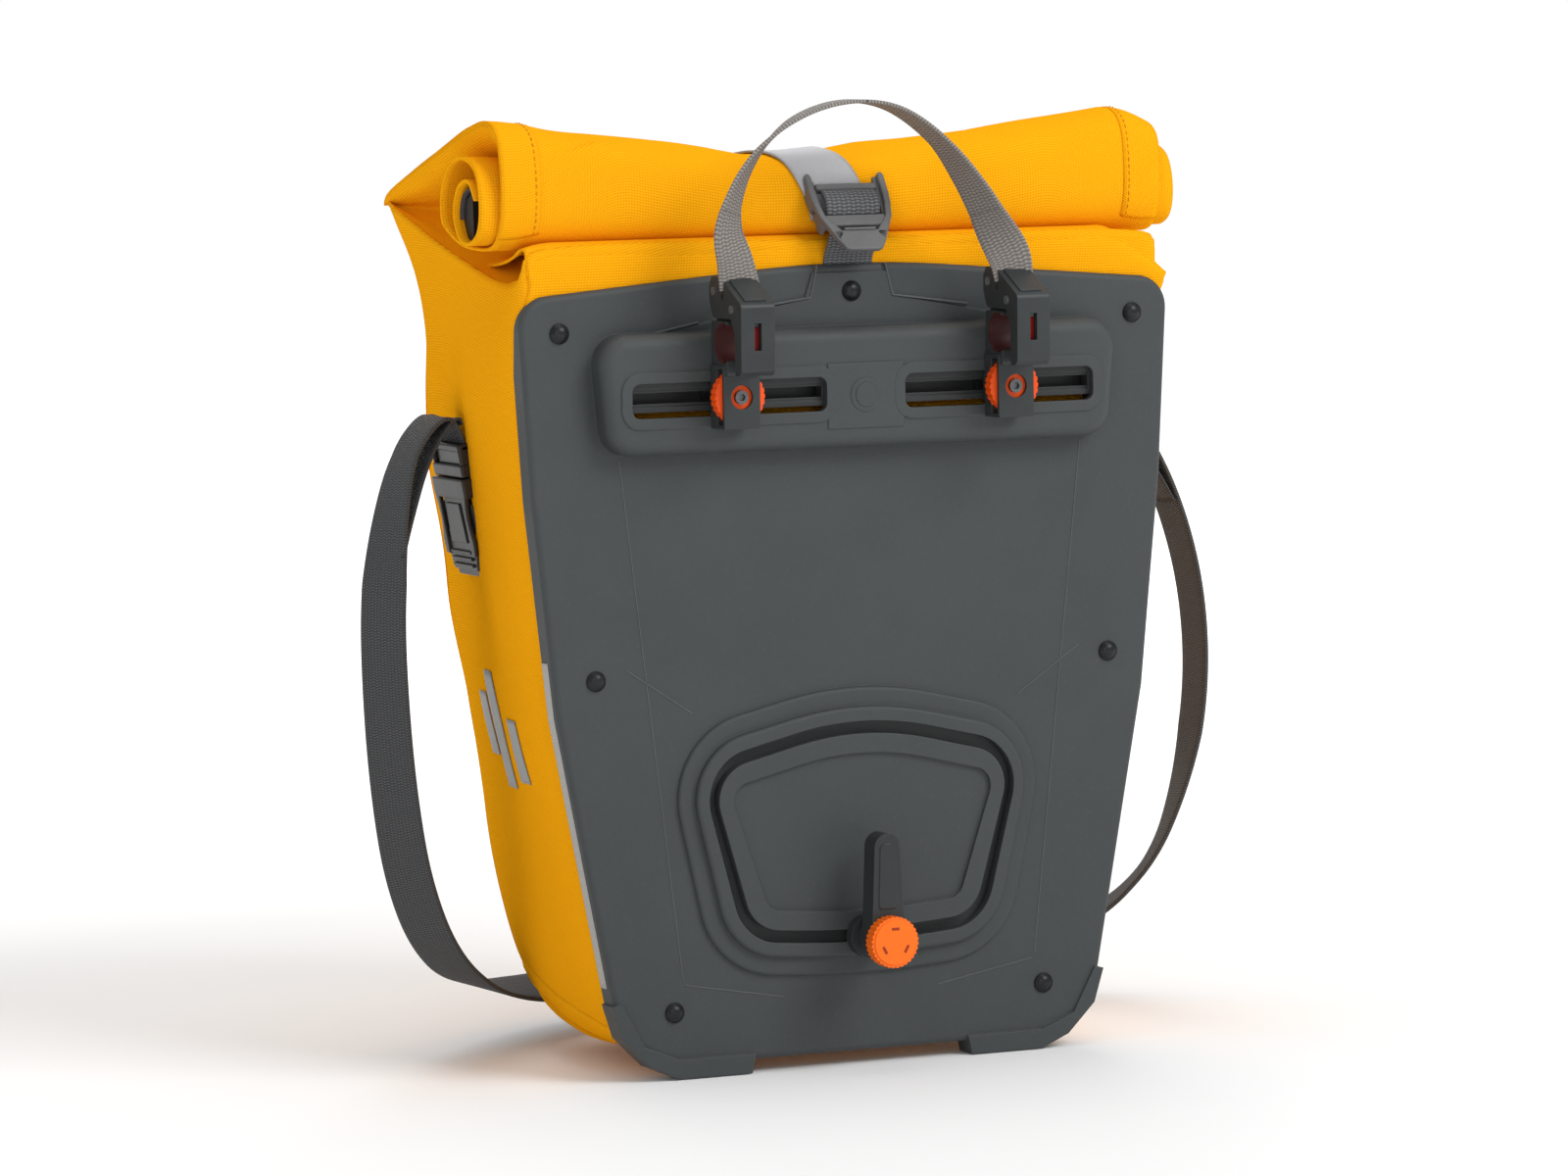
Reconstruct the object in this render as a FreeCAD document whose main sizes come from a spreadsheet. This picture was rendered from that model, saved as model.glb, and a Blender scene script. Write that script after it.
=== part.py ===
import FreeCAD, Part
import math
import os
import re
import Sketcher

# Roll-top bicycle pannier with a moulded back plate, sliding rack hooks and a swivelling lower latch.
# Millimetres. X runs along the plate, +Z is up and +Y points from the plate into the bag.
# "Reach" is a distance in front of the plate's face, so a reach of 10 is 10 mm towards -Y.

SIZES = {
    # back plate
    "plate_face_y": -73.0, "plate_top": 377.0, "plate_shoulder": 363.0, "plate_shoulder_half": 167.0,
    "plate_upper": 270.0, "plate_upper_half": 161.5, "plate_lower": 170.0, "plate_lower_half": 151.0,
    "plate_bottom": 6.0, "plate_bottom_half": 120.0, "tray_depth": 12.0, "plate_wall": 3.0,
    "shoulder_radius": 15.0, "bottom_radius": 40.0, "arch_radius": 600.0,
    "edge_radius": 3.0, "foot_inner": 57.0, "foot_outer": 94.0,
    "gable_step": 1.2, "gable_half": 118.0,
    # rail housing and rail
    "housing_reach": 15.0, "housing_low": 290.0, "housing_high": 346.0, "housing_low_half": 128.0,
    "housing_high_half": 133.0, "housing_wall": 3.0, "housing_corner": 14.0, "housing_edge": 7.0,
    "slot_inner": 20.0, "slot_outer": 118.0, "slot_low": 307.5, "slot_high": 323.5, "slot_corner": 4.0,
    "rim_margin": 5.0, "rim_step": 0.8, "rail_half": 121.5, "rail_low": 310.0, "rail_high": 334.0,
    "rail_back": 5.0, "rail_skin": 0.4, "rail_groove": 5.0, "screw_height": 316.5,
    # lower latch track
    "track_high": 166.0, "track_shoulder": 146.0, "track_shoulder_half": 84.0, "track_low": 57.0,
    "track_heel": 62.0, "track_heel_half": 62.0, "track_width": 6.0, "track_reach": 6.0,
    "track_crown_radius": 150.0, "track_corner": 24.0, "track_floor_radius": 450.0,
    "land_margin": 16.0, "land_reach": 2.5, "ridge_margin": 7.0, "panel_margin": 15.0, "panel_step": 2.0,
    "undercut": 2.5, "undercut_back": -1.8, "undercut_front": 1.0,
    # rivets
    "rivet_head": 9.8, "rivet_dome": 2.4, "rivet_shank": 4.0, "rivet_hole": 4.2, "washer_size": 9.0,
    # bag, roll and closure
    "bag_front": 6.0, "fabric": 2.0, "bag_mouth": 384.5, "roll_half": 171.0, "roll_base": 385.0,
    "stiffener_half": 160.0, "strap_width": 28.0, "webbing": 1.8, "buckle_half": 19.0, "tab_pivot": 400.0,
    # rack hooks
    "hook_spread": 70.0, "block_half": 9.0, "jaw_half": 8.0, "crown_half": 5.4, "block_low": 302.0,
    "block_back": 16.2, "block_front": 31.0, "tube_reach": 28.0, "tube_height": 341.5,
    "tube_radius": 8.05, "liner_radius": 9.35, "bore_radius": 9.4, "pivot_reach": 19.0,
    "pivot_height": 365.0, "pivot_size": 4.0, "pivot_bore": 4.1, "lug_radius": 4.4, "cheek_inner": 5.7,
    "cheek_outer": 8.4, "lever_front": 50.0, "pawl_reach": 38.5, "pawl_height": 357.0,
    "handle_pin_reach": 29.2, "handle_pin_height": 362.5, "handle_pin_size": 3.0,
    "wheel_size": 25.0, "wheel_back": 23.3, "wheel_thick": 5.4, "wheel_bore": 4.15, "screw_size": 4.0,
    "screw_head": 6.4, "screw_window": 11.0, "handle_half": 7.5, "handle_depth": 8.0, "handle_start": 396.0,
    # lower latch
    "latch_height": 61.4, "carriage_size": 20.0, "carriage_top": 12.0, "foot_size": 10.4,
    "neck_size": 5.4, "bolt_size": 4.0, "bolt_bore": 4.1, "arm_back": 20.0, "arm_front": 31.0,
    "arm_root": 8.5, "arm_tip": 6.5, "arm_tip_height": 105.0, "boss_size": 14.0, "knob_size": 24.0,
    "knob_back": 31.3, "knob_front": 38.0,
    # side buckles and shoulder strap
    "buckle_x": 153.0, "buckle_y": 98.0, "socket_low": 237.0, "socket_high": 277.0, "socket_half": 19.0,
    "socket_thick": 12.0, "pocket_half": 15.6, "pocket_thick": 7.0, "plug_high": 291.0,
    "prong_inner": 9.0, "prong_outer": 14.0, "button_outer": 18.6, "strap_tube": 8.74,
}

document = FreeCAD.newDocument("pannier_bag")
sheet = document.addObject("Spreadsheet::Sheet", "sizes")
for row, (alias, value) in enumerate(SIZES.items(), start=1):
    sheet.set(f"A{row}", alias)
    sheet.set(f"B{row}", str(value))
    sheet.setAlias(f"B{row}", alias)
document.recompute()

Vector = FreeCAD.Vector
subparts = []


def linked(text):
    """Write an expression of the sheet's words in the document's own form."""
    return re.sub(r"[a-z]+(?:_[a-z]+)*", lambda word: "sizes." + word.group(0), str(text))


def bind(item, name, text):
    item.setExpression(name, linked(text))


# ---------------------------------------------------------------- sketches and solids

def add_sketch(body, role, lift):
    """A sketch on one of the body's own origin planes, lifted along its normal."""
    plane = next(item for item in body.Origin.OriginFeatures if item.Role == role)
    sketch = body.newObject("Sketcher::SketchObject", body.Name + "_sketch")
    sketch.AttachmentSupport = [(plane, "")]
    sketch.MapMode = "FlatFace"
    bind(sketch, "AttachmentOffset.Base.z", lift)
    return sketch


def place_point(sketch, index, end, x, y):
    for axis, text in (("DistanceX", x), ("DistanceY", y)):
        number = sketch.addConstraint(Sketcher.Constraint(axis, -1, 1, index, end, 1.0))
        bind(sketch, f"Constraints[{number}]", text)


def draw_outline(sketch, points):
    """A closed outline whose corners are all tied to the sheet."""
    count = len(points)
    ring = [Vector(20 * math.cos(2 * math.pi * k / count), 20 * math.sin(2 * math.pi * k / count), 0)
            for k in range(count)]
    for k in range(count):
        sketch.addGeometry(Part.LineSegment(ring[k], ring[(k + 1) % count]), False)
    for k in range(count):
        sketch.addConstraint(Sketcher.Constraint("Coincident", k, 2, (k + 1) % count, 1))
    for k, (x, y) in enumerate(points):
        place_point(sketch, k, 1, x, y)


def draw_circle(sketch, x, y, radius):
    index = sketch.addGeometry(Part.Circle(Vector(0, 0, 0), Vector(0, 0, 1), 3), False)
    number = sketch.addConstraint(Sketcher.Constraint("Radius", index, 3.0))
    bind(sketch, f"Constraints[{number}]", radius)
    place_point(sketch, index, 3, x, y)


def pad(body, sketch, length):
    feature = body.newObject("PartDesign::Pad", body.Name + "_pad")
    feature.Profile = sketch
    bind(feature, "Length", length)
    document.recompute()
    return feature


def round_edges(body, radius, chosen):
    """Fillet the edges of the body's tip that the test accepts."""
    before = body.Tip
    names = [f"Edge{k}" for k, edge in enumerate(before.Shape.Edges, start=1) if chosen(edge)]
    feature = body.newObject("PartDesign::Fillet", body.Name + "_round")
    feature.Base = (before, names)
    bind(feature, "Radius", radius)
    document.recompute()
    return feature


def prism(name, role, points, start, length, rounds=()):
    """A padded outline. rounds pairs a radius with the outline's corners that it applies to."""
    body = document.addObject("PartDesign::Body", name)
    sketch = add_sketch(body, role, start)
    draw_outline(sketch, points)
    pad(body, sketch, length)
    corners = [sketch.Placement.multVec(line.StartPoint) for line in sketch.Geometry]
    normal = sketch.Placement.Rotation.multVec(Vector(0, 0, 1))

    def at_corner(edge, numbers):
        ends = [vertex.Point for vertex in edge.Vertexes]
        return len(ends) == 2 and any(
            all((end - corners[k]).cross(normal).Length < 0.001 for end in ends) for k in numbers)

    for radius, numbers in rounds:
        round_edges(body, radius, lambda edge, wanted=numbers: at_corner(edge, wanted))
    return body


def disc(name, role, x, y, size, start, length):
    body = document.addObject("PartDesign::Body", name)
    sketch = add_sketch(body, role, start)
    draw_circle(sketch, x, y, f"({size}) / 2")
    pad(body, sketch, length)
    return body


def block(name, x, y, z, length, width, height):
    item = document.addObject("Part::Box", name)
    for prop, text in (("Length", length), ("Width", width), ("Height", height),
                       ("Placement.Base.x", x), ("Placement.Base.y", y), ("Placement.Base.z", z)):
        bind(item, prop, text)
    return item


def centred_block(name, half, front, low, back, high):
    """A block across X = 0, between two reaches and two heights."""
    return block(name, f"-({half})", f"-({front})", low, f"2 * ({half})", f"{front} - ({back})",
                 f"{high} - ({low})")


def join(name, *items):
    result = document.addObject("Part::MultiFuse", name)
    result.Shapes = list(items)
    result.Refine = True
    document.recompute()
    return result


def carve(name, base, *tools):
    """Cut the tools away and check that each one removed something."""
    for number, tool in enumerate(tools, start=1):
        result = document.addObject("Part::Cut", f"{name}_{number}")
        result.Base = base
        result.Tool = tool
        document.recompute()
        if result.Shape.Volume > base.Shape.Volume - 0.01:
            raise ValueError(f"{name}: {tool.Name} removes nothing")
        base = result
    return base


def keep(item, label, across="0"):
    """Make the item a sub-part, moved from the plate's own frame to the bag's."""
    item.Label = label
    placed = dict(item.ExpressionEngine)
    for prop, shift in (("Placement.Base.x", across), ("Placement.Base.y", "plate_face_y")):
        own = placed.get(prop, placed.get("." + prop, "0"))
        item.setExpression(prop, f"({own}) + {linked(shift)}")
    subparts.append(item)
    return item


def mirrored(half):
    """Complete an outline about X = 0 from its right half, given from top to bottom."""
    return half + [(f"-({x})", z) for x, z in reversed(half) if x != "0"]


def reach_points(pairs):
    """Side-view points, given as reach and height."""
    return [(f"-({reach})", height) for reach, height in pairs]


def in_plane(axis, value):
    """A test for edges that lie in the plane where the axis has this value."""
    return lambda edge: (abs(getattr(edge.BoundBox, axis + "Min") - value) < 0.01
                         and abs(getattr(edge.BoundBox, axis + "Max") - value) < 0.01)


# ---------------------------------------------------------------- back plate

def plate_outline(inset):
    return mirrored([("0", f"plate_top - {inset}"),
                     (f"plate_shoulder_half - {inset}", f"plate_shoulder - {inset}"),
                     (f"plate_upper_half - {inset}", "plate_upper"),
                     (f"plate_lower_half - {inset}", "plate_lower"),
                     (f"plate_bottom_half - {inset}", f"plate_bottom + {inset}")])


def plate_rounds(inset):
    return [(f"arch_radius - {inset}", [0]), (f"shoulder_radius - {inset}", [1, 8]),
            (f"bottom_radius - {inset}", [4, 5])]


def track_outline(margin):
    """The latch track's rounded outline, grown by the margin."""
    return mirrored([("0", f"track_high + {margin}"),
                     (f"track_shoulder_half + {margin}", f"track_shoulder + 0.8 * ({margin})"),
                     (f"track_heel_half + 0.85 * ({margin})", f"track_heel - 0.92 * ({margin})"),
                     ("0", f"track_low - {margin}")])


def track_body(name, margin, start, length):
    rounds = [(f"track_crown_radius + {margin}", [0]), (f"track_corner + {margin}", [1, 5, 2, 4]),
              (f"track_floor_radius + {margin}", [3])]
    return prism(name, "XZ_Plane", track_outline(margin), start, length, rounds)


def slot_outline(margin, sign):
    inner = f"{sign} * (slot_inner - {margin})"
    outer = f"{sign} * (slot_outer + {margin})"
    low = f"slot_low - {margin}"
    high = f"slot_high + {margin}"
    return [(inner, low), (outer, low), (outer, high), (inner, high)]


RIVETS = [(0, 362.0)] + [(sign * x, z) for x, z in ((147.0, 347.0), (132.0, 187.0), (95.5, 31.0))
                         for sign in (-1, 1)]


def rivet_discs(name, size, back, front):
    """One disc for each rivet, between two reaches."""
    discs = [disc(f"{name}_{k}", "XZ_Plane", x, z, size, back, f"{front} - ({back})")
             for k, (x, z) in enumerate(RIVETS)]
    return join(name, *discs)


def make_plate():
    tray = prism("tray", "XZ_Plane", plate_outline("0"), "-tray_depth", "tray_depth", plate_rounds("0"))
    round_edges(tray, "edge_radius", in_plane("Y", 0.0))
    inside = prism("tray_inside", "XZ_Plane", plate_outline("plate_wall"), "-(tray_depth + 1)",
                   "tray_depth + 1 - plate_wall", plate_rounds("plate_wall"))
    gable = prism("gable", "XZ_Plane",
                  mirrored([("20", "plate_top - 6"), ("24", "housing_high + 13"),
                            ("gable_half", "housing_high - 4")]), "-1", "gable_step + 1")
    round_edges(gable, "gable_step * 0.6", in_plane("Y", -SIZES["gable_step"]))
    housing = prism("housing", "XZ_Plane",
                    mirrored([("housing_high_half", "housing_high"), ("housing_low_half", "housing_low")]),
                    "-1", "housing_reach + 1", [("housing_corner", [0, 1, 2, 3])])
    round_edges(housing, "housing_edge", in_plane("Y", -SIZES["housing_reach"]))
    cavity = centred_block("cavity", "housing_low_half - 6", "housing_reach - housing_wall",
                           "housing_low + 6", "-(plate_wall + 1)", "housing_high - 5")
    pieces = [tray, gable, housing]
    open_top = prism("open_top", "YZ_Plane",
                     [("plate_wall", "plate_top + 20"), ("tray_depth + 1", "plate_top + 20"),
                      ("tray_depth + 1", "plate_shoulder - 41"), ("plate_wall", "plate_shoulder + 9")],
                     "-plate_shoulder_half - 2", "2 * plate_shoulder_half + 4")
    tools = [cavity, open_top]
    for side, sign in (("left", -1), ("right", 1)):
        rim = prism(f"rim_{side}", "XZ_Plane", slot_outline("rim_margin", sign), "housing_reach - 1",
                    "1 + rim_step", [("slot_corner + rim_margin", [0, 1, 2, 3])])
        slot = prism(f"slot_{side}", "XZ_Plane", slot_outline("0", sign),
                     "housing_reach - housing_wall - 1", "housing_wall + 3",
                     [("slot_corner", [0, 1, 2, 3])])
        pieces.append(rim)
        tools.append(slot)
        foot = prism(f"foot_{side}", "XZ_Plane",
                     [(f"{sign} * foot_inner", "0"), (f"{sign} * foot_outer", "0"),
                      (f"{sign} * (foot_outer + 14)", "6"), (f"{sign} * (foot_outer + 28)", "20"),
                      (f"{sign} * (foot_outer + 33)", "36"), (f"{sign} * (foot_outer + 28.5)", "37"),
                      (f"{sign} * (foot_outer + 17)", "16"), (f"{sign} * foot_outer", "9"),
                      (f"{sign} * (foot_inner - 2)", "9")], "-tray_depth", "tray_depth + 1.5")
        pieces.append(foot)
    land = track_body("land", "land_margin", "-1", "land_reach + 1")
    round_edges(land, "land_reach * 0.8", in_plane("Y", -SIZES["land_reach"]))
    ridge = track_body("ridge", "ridge_margin", "-plate_wall", "track_reach + plate_wall")
    round_edges(ridge, "track_reach * 0.35", in_plane("Y", -SIZES["track_reach"]))
    panel = track_body("panel", "-panel_margin", "track_reach - panel_step", "panel_step + 1")
    groove = carve("groove", track_body("groove_outer", "0", "undercut_back", "track_reach + 3"),
                   track_body("groove_inner", "-track_width", "undercut_back - 1", "track_reach + 5"))
    undercut = carve("undercut_ring",
                     track_body("undercut_outer", "undercut", "undercut_back",
                                "undercut_front - undercut_back"),
                     track_body("undercut_inner", "-(track_width + undercut)", "undercut_back - 1",
                                "undercut_front - undercut_back + 2"))
    hollow = track_body("island_hollow", "-(track_width + 5)", "-(plate_wall + 1)", "plate_wall + 3")
    holes = rivet_discs("rivet_holes", "rivet_hole", "-(plate_wall + 1)", "gable_step + 2")
    body = join("plate_body", carve("tray_hollow", tray, inside), *pieces[1:], land, ridge)
    keep(carve("plate", body, *tools, panel, groove, undercut, hollow, holes), "back_plate")


def make_rail():
    """A bar with a groove for the hooks' screws and a closed channel behind it for their nut plates."""
    rail = centred_block("rail_bar", "rail_half", "housing_reach - housing_wall", "rail_low", "rail_skin",
                         "rail_high")
    tools = []
    for side, sign in (("left", -1), ("right", 1)):
        start = "-(slot_outer - 1)" if sign < 0 else "slot_inner + 1"
        tools.append(block(f"rail_slot_{side}", start, "-(housing_reach)",
                           "screw_height - rail_groove / 2", "slot_outer - slot_inner - 2",
                           "housing_reach - rail_back + 1", "rail_groove"))
        tools.append(block(f"rail_step_{side}", start, "-(housing_reach)",
                           "screw_height - rail_groove / 2 - 1.5", "slot_outer - slot_inner - 2",
                           "housing_wall + 1.2", "rail_groove + 3"))
        channel_start = "-(slot_outer + 1)" if sign < 0 else "slot_inner - 1"
        tools.append(block(f"nut_channel_{side}", channel_start, "-rail_back", "rail_low + 1.6",
                           "slot_outer - slot_inner + 2", "rail_back - rail_skin - 1.1", "13.6"))
    keep(carve("rail", rail, *tools), "hook_rail")


def make_rivets():
    heads = rivet_discs("rivet_heads", "rivet_head", "0", "gable_step")
    shanks = rivet_discs("rivet_shanks", "rivet_shank", "-(bag_front + fabric + 1.5)", "0")
    domes = []
    for k, (x, z) in enumerate(RIVETS):
        dome = document.addObject("Part::Cone", f"dome_{k}")
        bind(dome, "Radius1", "rivet_head / 2")
        bind(dome, "Radius2", "rivet_head / 3.2")
        bind(dome, "Height", "rivet_dome - gable_step")
        dome.Placement = FreeCAD.Placement(Vector(x, 0, z), FreeCAD.Rotation(Vector(1, 0, 0), 90))
        bind(dome, "Placement.Base.y", "-gable_step")
        domes.append(dome)
    solids = join("rivet_solids", heads, shanks, *domes)
    keep(carve("rivet_set", solids, gable_seat()), "plate_rivets")
    washers = rivet_discs("washer_discs", "washer_size", "-(bag_front + fabric + 1)",
                          "-(bag_front + fabric)")
    bores = rivet_discs("washer_bores", "rivet_hole", "-(bag_front + fabric + 2)", "-(bag_front)")
    keep(carve("washer_set", washers, bores), "rivet_washers")


def gable_seat():
    """The top middle rivet's head sits on the gable, not in it."""
    return carve("gable_seat", block("gable_seat_block", "-10", "-gable_step", "plate_top - 25",
                                     "20", "gable_step", "25"),
                 disc("gable_seat_core", "XZ_Plane", 0, RIVETS[0][1], "rivet_shank", "-1",
                      "gable_step + 2"))


# ---------------------------------------------------------------- bag, roll and closure

# Plan sections of the bag: height, half width in front, half width at the back, and the two depths.
# The lowest one is the middle of the base, which sags to just above the floor.
BAG_SECTIONS = [(3.0, 66.0, 54.0, 24.0, 120.0), (18.0, 98.0, 84.0, SIZES["bag_front"], 152.0),
                (56.0, 120.0, 104.0, SIZES["bag_front"], 178.0),
                (180.0, 146.0, 126.0, SIZES["bag_front"], 187.0),
                (300.0, 158.0, 138.0, SIZES["bag_front"], 190.0),
                (SIZES["bag_mouth"], 163.0, 150.0, SIZES["bag_front"], 168.0)]
BACK_CORNER = 24.0


def bag_loft(inset, floor):
    """The bag's outside, or its inside when inset by the fabric."""
    wires = []
    for height, wide, narrow, near, far in BAG_SECTIONS:
        side = wide - inset
        rear = narrow - inset
        front = near + inset
        back = far - inset
        half = [(side, front), (rear, back - BACK_CORNER), (rear - BACK_CORNER, back)]
        corners = half + [(-x, y) for x, y in reversed(half)]
        points = [Vector(x, y, max(height, floor)) for x, y in corners]
        wires.append(Part.makePolygon(points + points[:1]))
    return Part.makeLoft(wires, True, True)


def make_bag():
    fabric = SIZES["fabric"]
    shell = bag_loft(0, 0)
    inside = bag_loft(fabric, BAG_SECTIONS[0][0] + fabric)
    inside.translate(Vector(0, 0, 0.001))
    shell = shell.cut(inside)
    holes = [Part.makeCylinder(SIZES["rivet_hole"] / 2, 6, Vector(x, SIZES["bag_front"] - 2, z),
                               Vector(0, 1, 0)) for x, z in RIVETS]
    bag = document.addObject("Part::Feature", "bag")
    bag.Shape = shell.cut(holes)
    keep(bag, "bag_shell")


def make_roll():
    outline = [("34", "roll_base + 57"), ("16", "roll_base + 51"), ("8", "roll_base + 30"),
               ("13", "roll_base + 8"), ("26", "roll_base"), ("150", "roll_base"),
               ("166", "roll_base + 12"), ("166", "roll_base + 20")]
    roll = prism("roll_body", "YZ_Plane", outline, "-roll_half", "2 * roll_half",
                 [("6", [0, 1, 3, 6]), ("10", [2])])
    strip = block("strip_space", "-(stiffener_half + 0.3)", "39.7", "399.7", "2 * stiffener_half + 0.6",
                  "3.1", "26.6")
    keep(carve("roll", roll, strip), "roll_top")
    keep(block("strip", "-stiffener_half", "40", "400", "2 * stiffener_half", "2.5", "26"),
         "roll_stiffener")


def make_closure():
    over = [("196", "200"), ("196", "300"), ("172", "402"), ("168", "408"),
            ("36", "444.5"), ("14", "438.5"), ("5.6", "415.5"), ("7.4", "403"), ("9.3", "403.3"),
            ("7.6", "415.2"), ("15.4", "436.8"), ("35.7", "442.4"), ("167", "406.1"),
            ("170.3", "401.5"), ("193.8", "299.6"), ("193.8", "200")]
    strap = prism("strap_over", "YZ_Plane", over, "-strap_width / 2", "strap_width")
    keep(strap, "closure_strap")
    anchor = block("anchor_strip", "-12.5", "plate_wall + 0.2", "352", "25", "webbing", "38")
    anchor_hole = disc("anchor_hole", "XZ_Plane", "0", RIVETS[0][1], "rivet_hole", "-8", "9")
    keep(carve("anchor", anchor, anchor_hole), "closure_webbing")
    sides = centred_block("buckle_outer", "buckle_half", "-1.6", "385", "-5.6", "414")
    window = centred_block("buckle_window", "14", "3", "390", "-9", "409")
    bars = [block(f"buckle_bar_{k}", "-15", "2", z, "30", "3.4", "3") for k, z in enumerate((394.5, 402))]
    ear_gap = centred_block("ear_gap", "13", "3", "411", "-9", "416")
    frame = join("buckle_frame", carve("buckle_plate", sides, window, ear_gap), *bars)
    anchor_room = block("anchor_room", "-12.8", "plate_wall", "380", "25.6", "3", "10.3")
    keep(carve("frame", frame, anchor_room), "closure_buckle")
    tab = prism("tab_plate", "XZ_Plane",
                mirrored([("17", "tab_pivot"), ("17", "tab_pivot - 9"), ("9", "tab_pivot - 20")]),
                "-1.3", "3", [("3", [0, 1, 2, 3, 4, 5])])
    round_edges(tab, "0.8", in_plane("Y", -1.7))
    grip = disc("tab_slot", "XZ_Plane", "0", "tab_pivot - 13", "6", "-3", "8")
    keep(carve("tab", tab, grip), "closure_tab")


def make_carry_handle():
    """A flat webbing arch above the levers; its lower ends start above the lever tabs."""
    crest = [("-72", "handle_start"), ("-70", "409"), ("-61", "424"), ("-45", "438"), ("-22", "449"),
             ("0", "452"), ("20", "447"), ("40", "434"), ("57", "416"), ("67", "400"),
             ("69", "handle_start")]
    under = [("67", "handle_start"), ("65", "399.2"), ("55.4", "414.8"), ("38.9", "432.3"),
             ("19.2", "445.1"), ("-0.2", "450"), ("-21.4", "447.1"), ("-43.9", "436.3"),
             ("-59.4", "422.8"), ("-68", "408.6"), ("-70", "handle_start")]
    arch = prism("arch", "XZ_Plane", crest + under, "handle_pin_reach - handle_depth",
                 "2 * handle_depth")
    keep(arch, "carry_handle")


# ---------------------------------------------------------------- rack hooks

def knurled_disc(name, height, size, start, length, bore, notches):
    """A thumb wheel about Y with a notched rim."""
    body = document.addObject("PartDesign::Body", name)
    sketch = add_sketch(body, "XZ_Plane", start)
    draw_circle(sketch, "0", height, f"{size} / 2")
    draw_circle(sketch, "0", height, f"{bore} / 2")
    whole = pad(body, sketch, length).Shape.Volume
    notch = add_sketch(body, "XZ_Plane", start)
    draw_circle(notch, "0", f"{height} + {size} / 2 + 0.25", "0.75")
    pocket = body.newObject("PartDesign::Pocket", name + "_notch")
    pocket.Profile = notch
    pocket.Reversed = True
    bind(pocket, "Length", length)
    axis_sketch = add_sketch(body, "XZ_Plane", start)
    axis_sketch.addGeometry(Part.Point(Vector(0, 0, 0)), True)
    place_point(axis_sketch, 0, 1, "0", height)
    bind(axis_sketch, "AttachmentOffset.Base.y", height)
    pattern = body.newObject("PartDesign::PolarPattern", name + "_rim")
    pattern.Originals = [pocket]
    pattern.Axis = (axis_sketch, ["N_Axis"])
    pattern.Angle = 360
    pattern.Occurrences = notches
    body.Tip = pattern
    document.recompute()
    if pattern.Shape.Volume > whole - notches * 0.3:
        raise ValueError(f"{name}: the rim has no notches")
    return body


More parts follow.
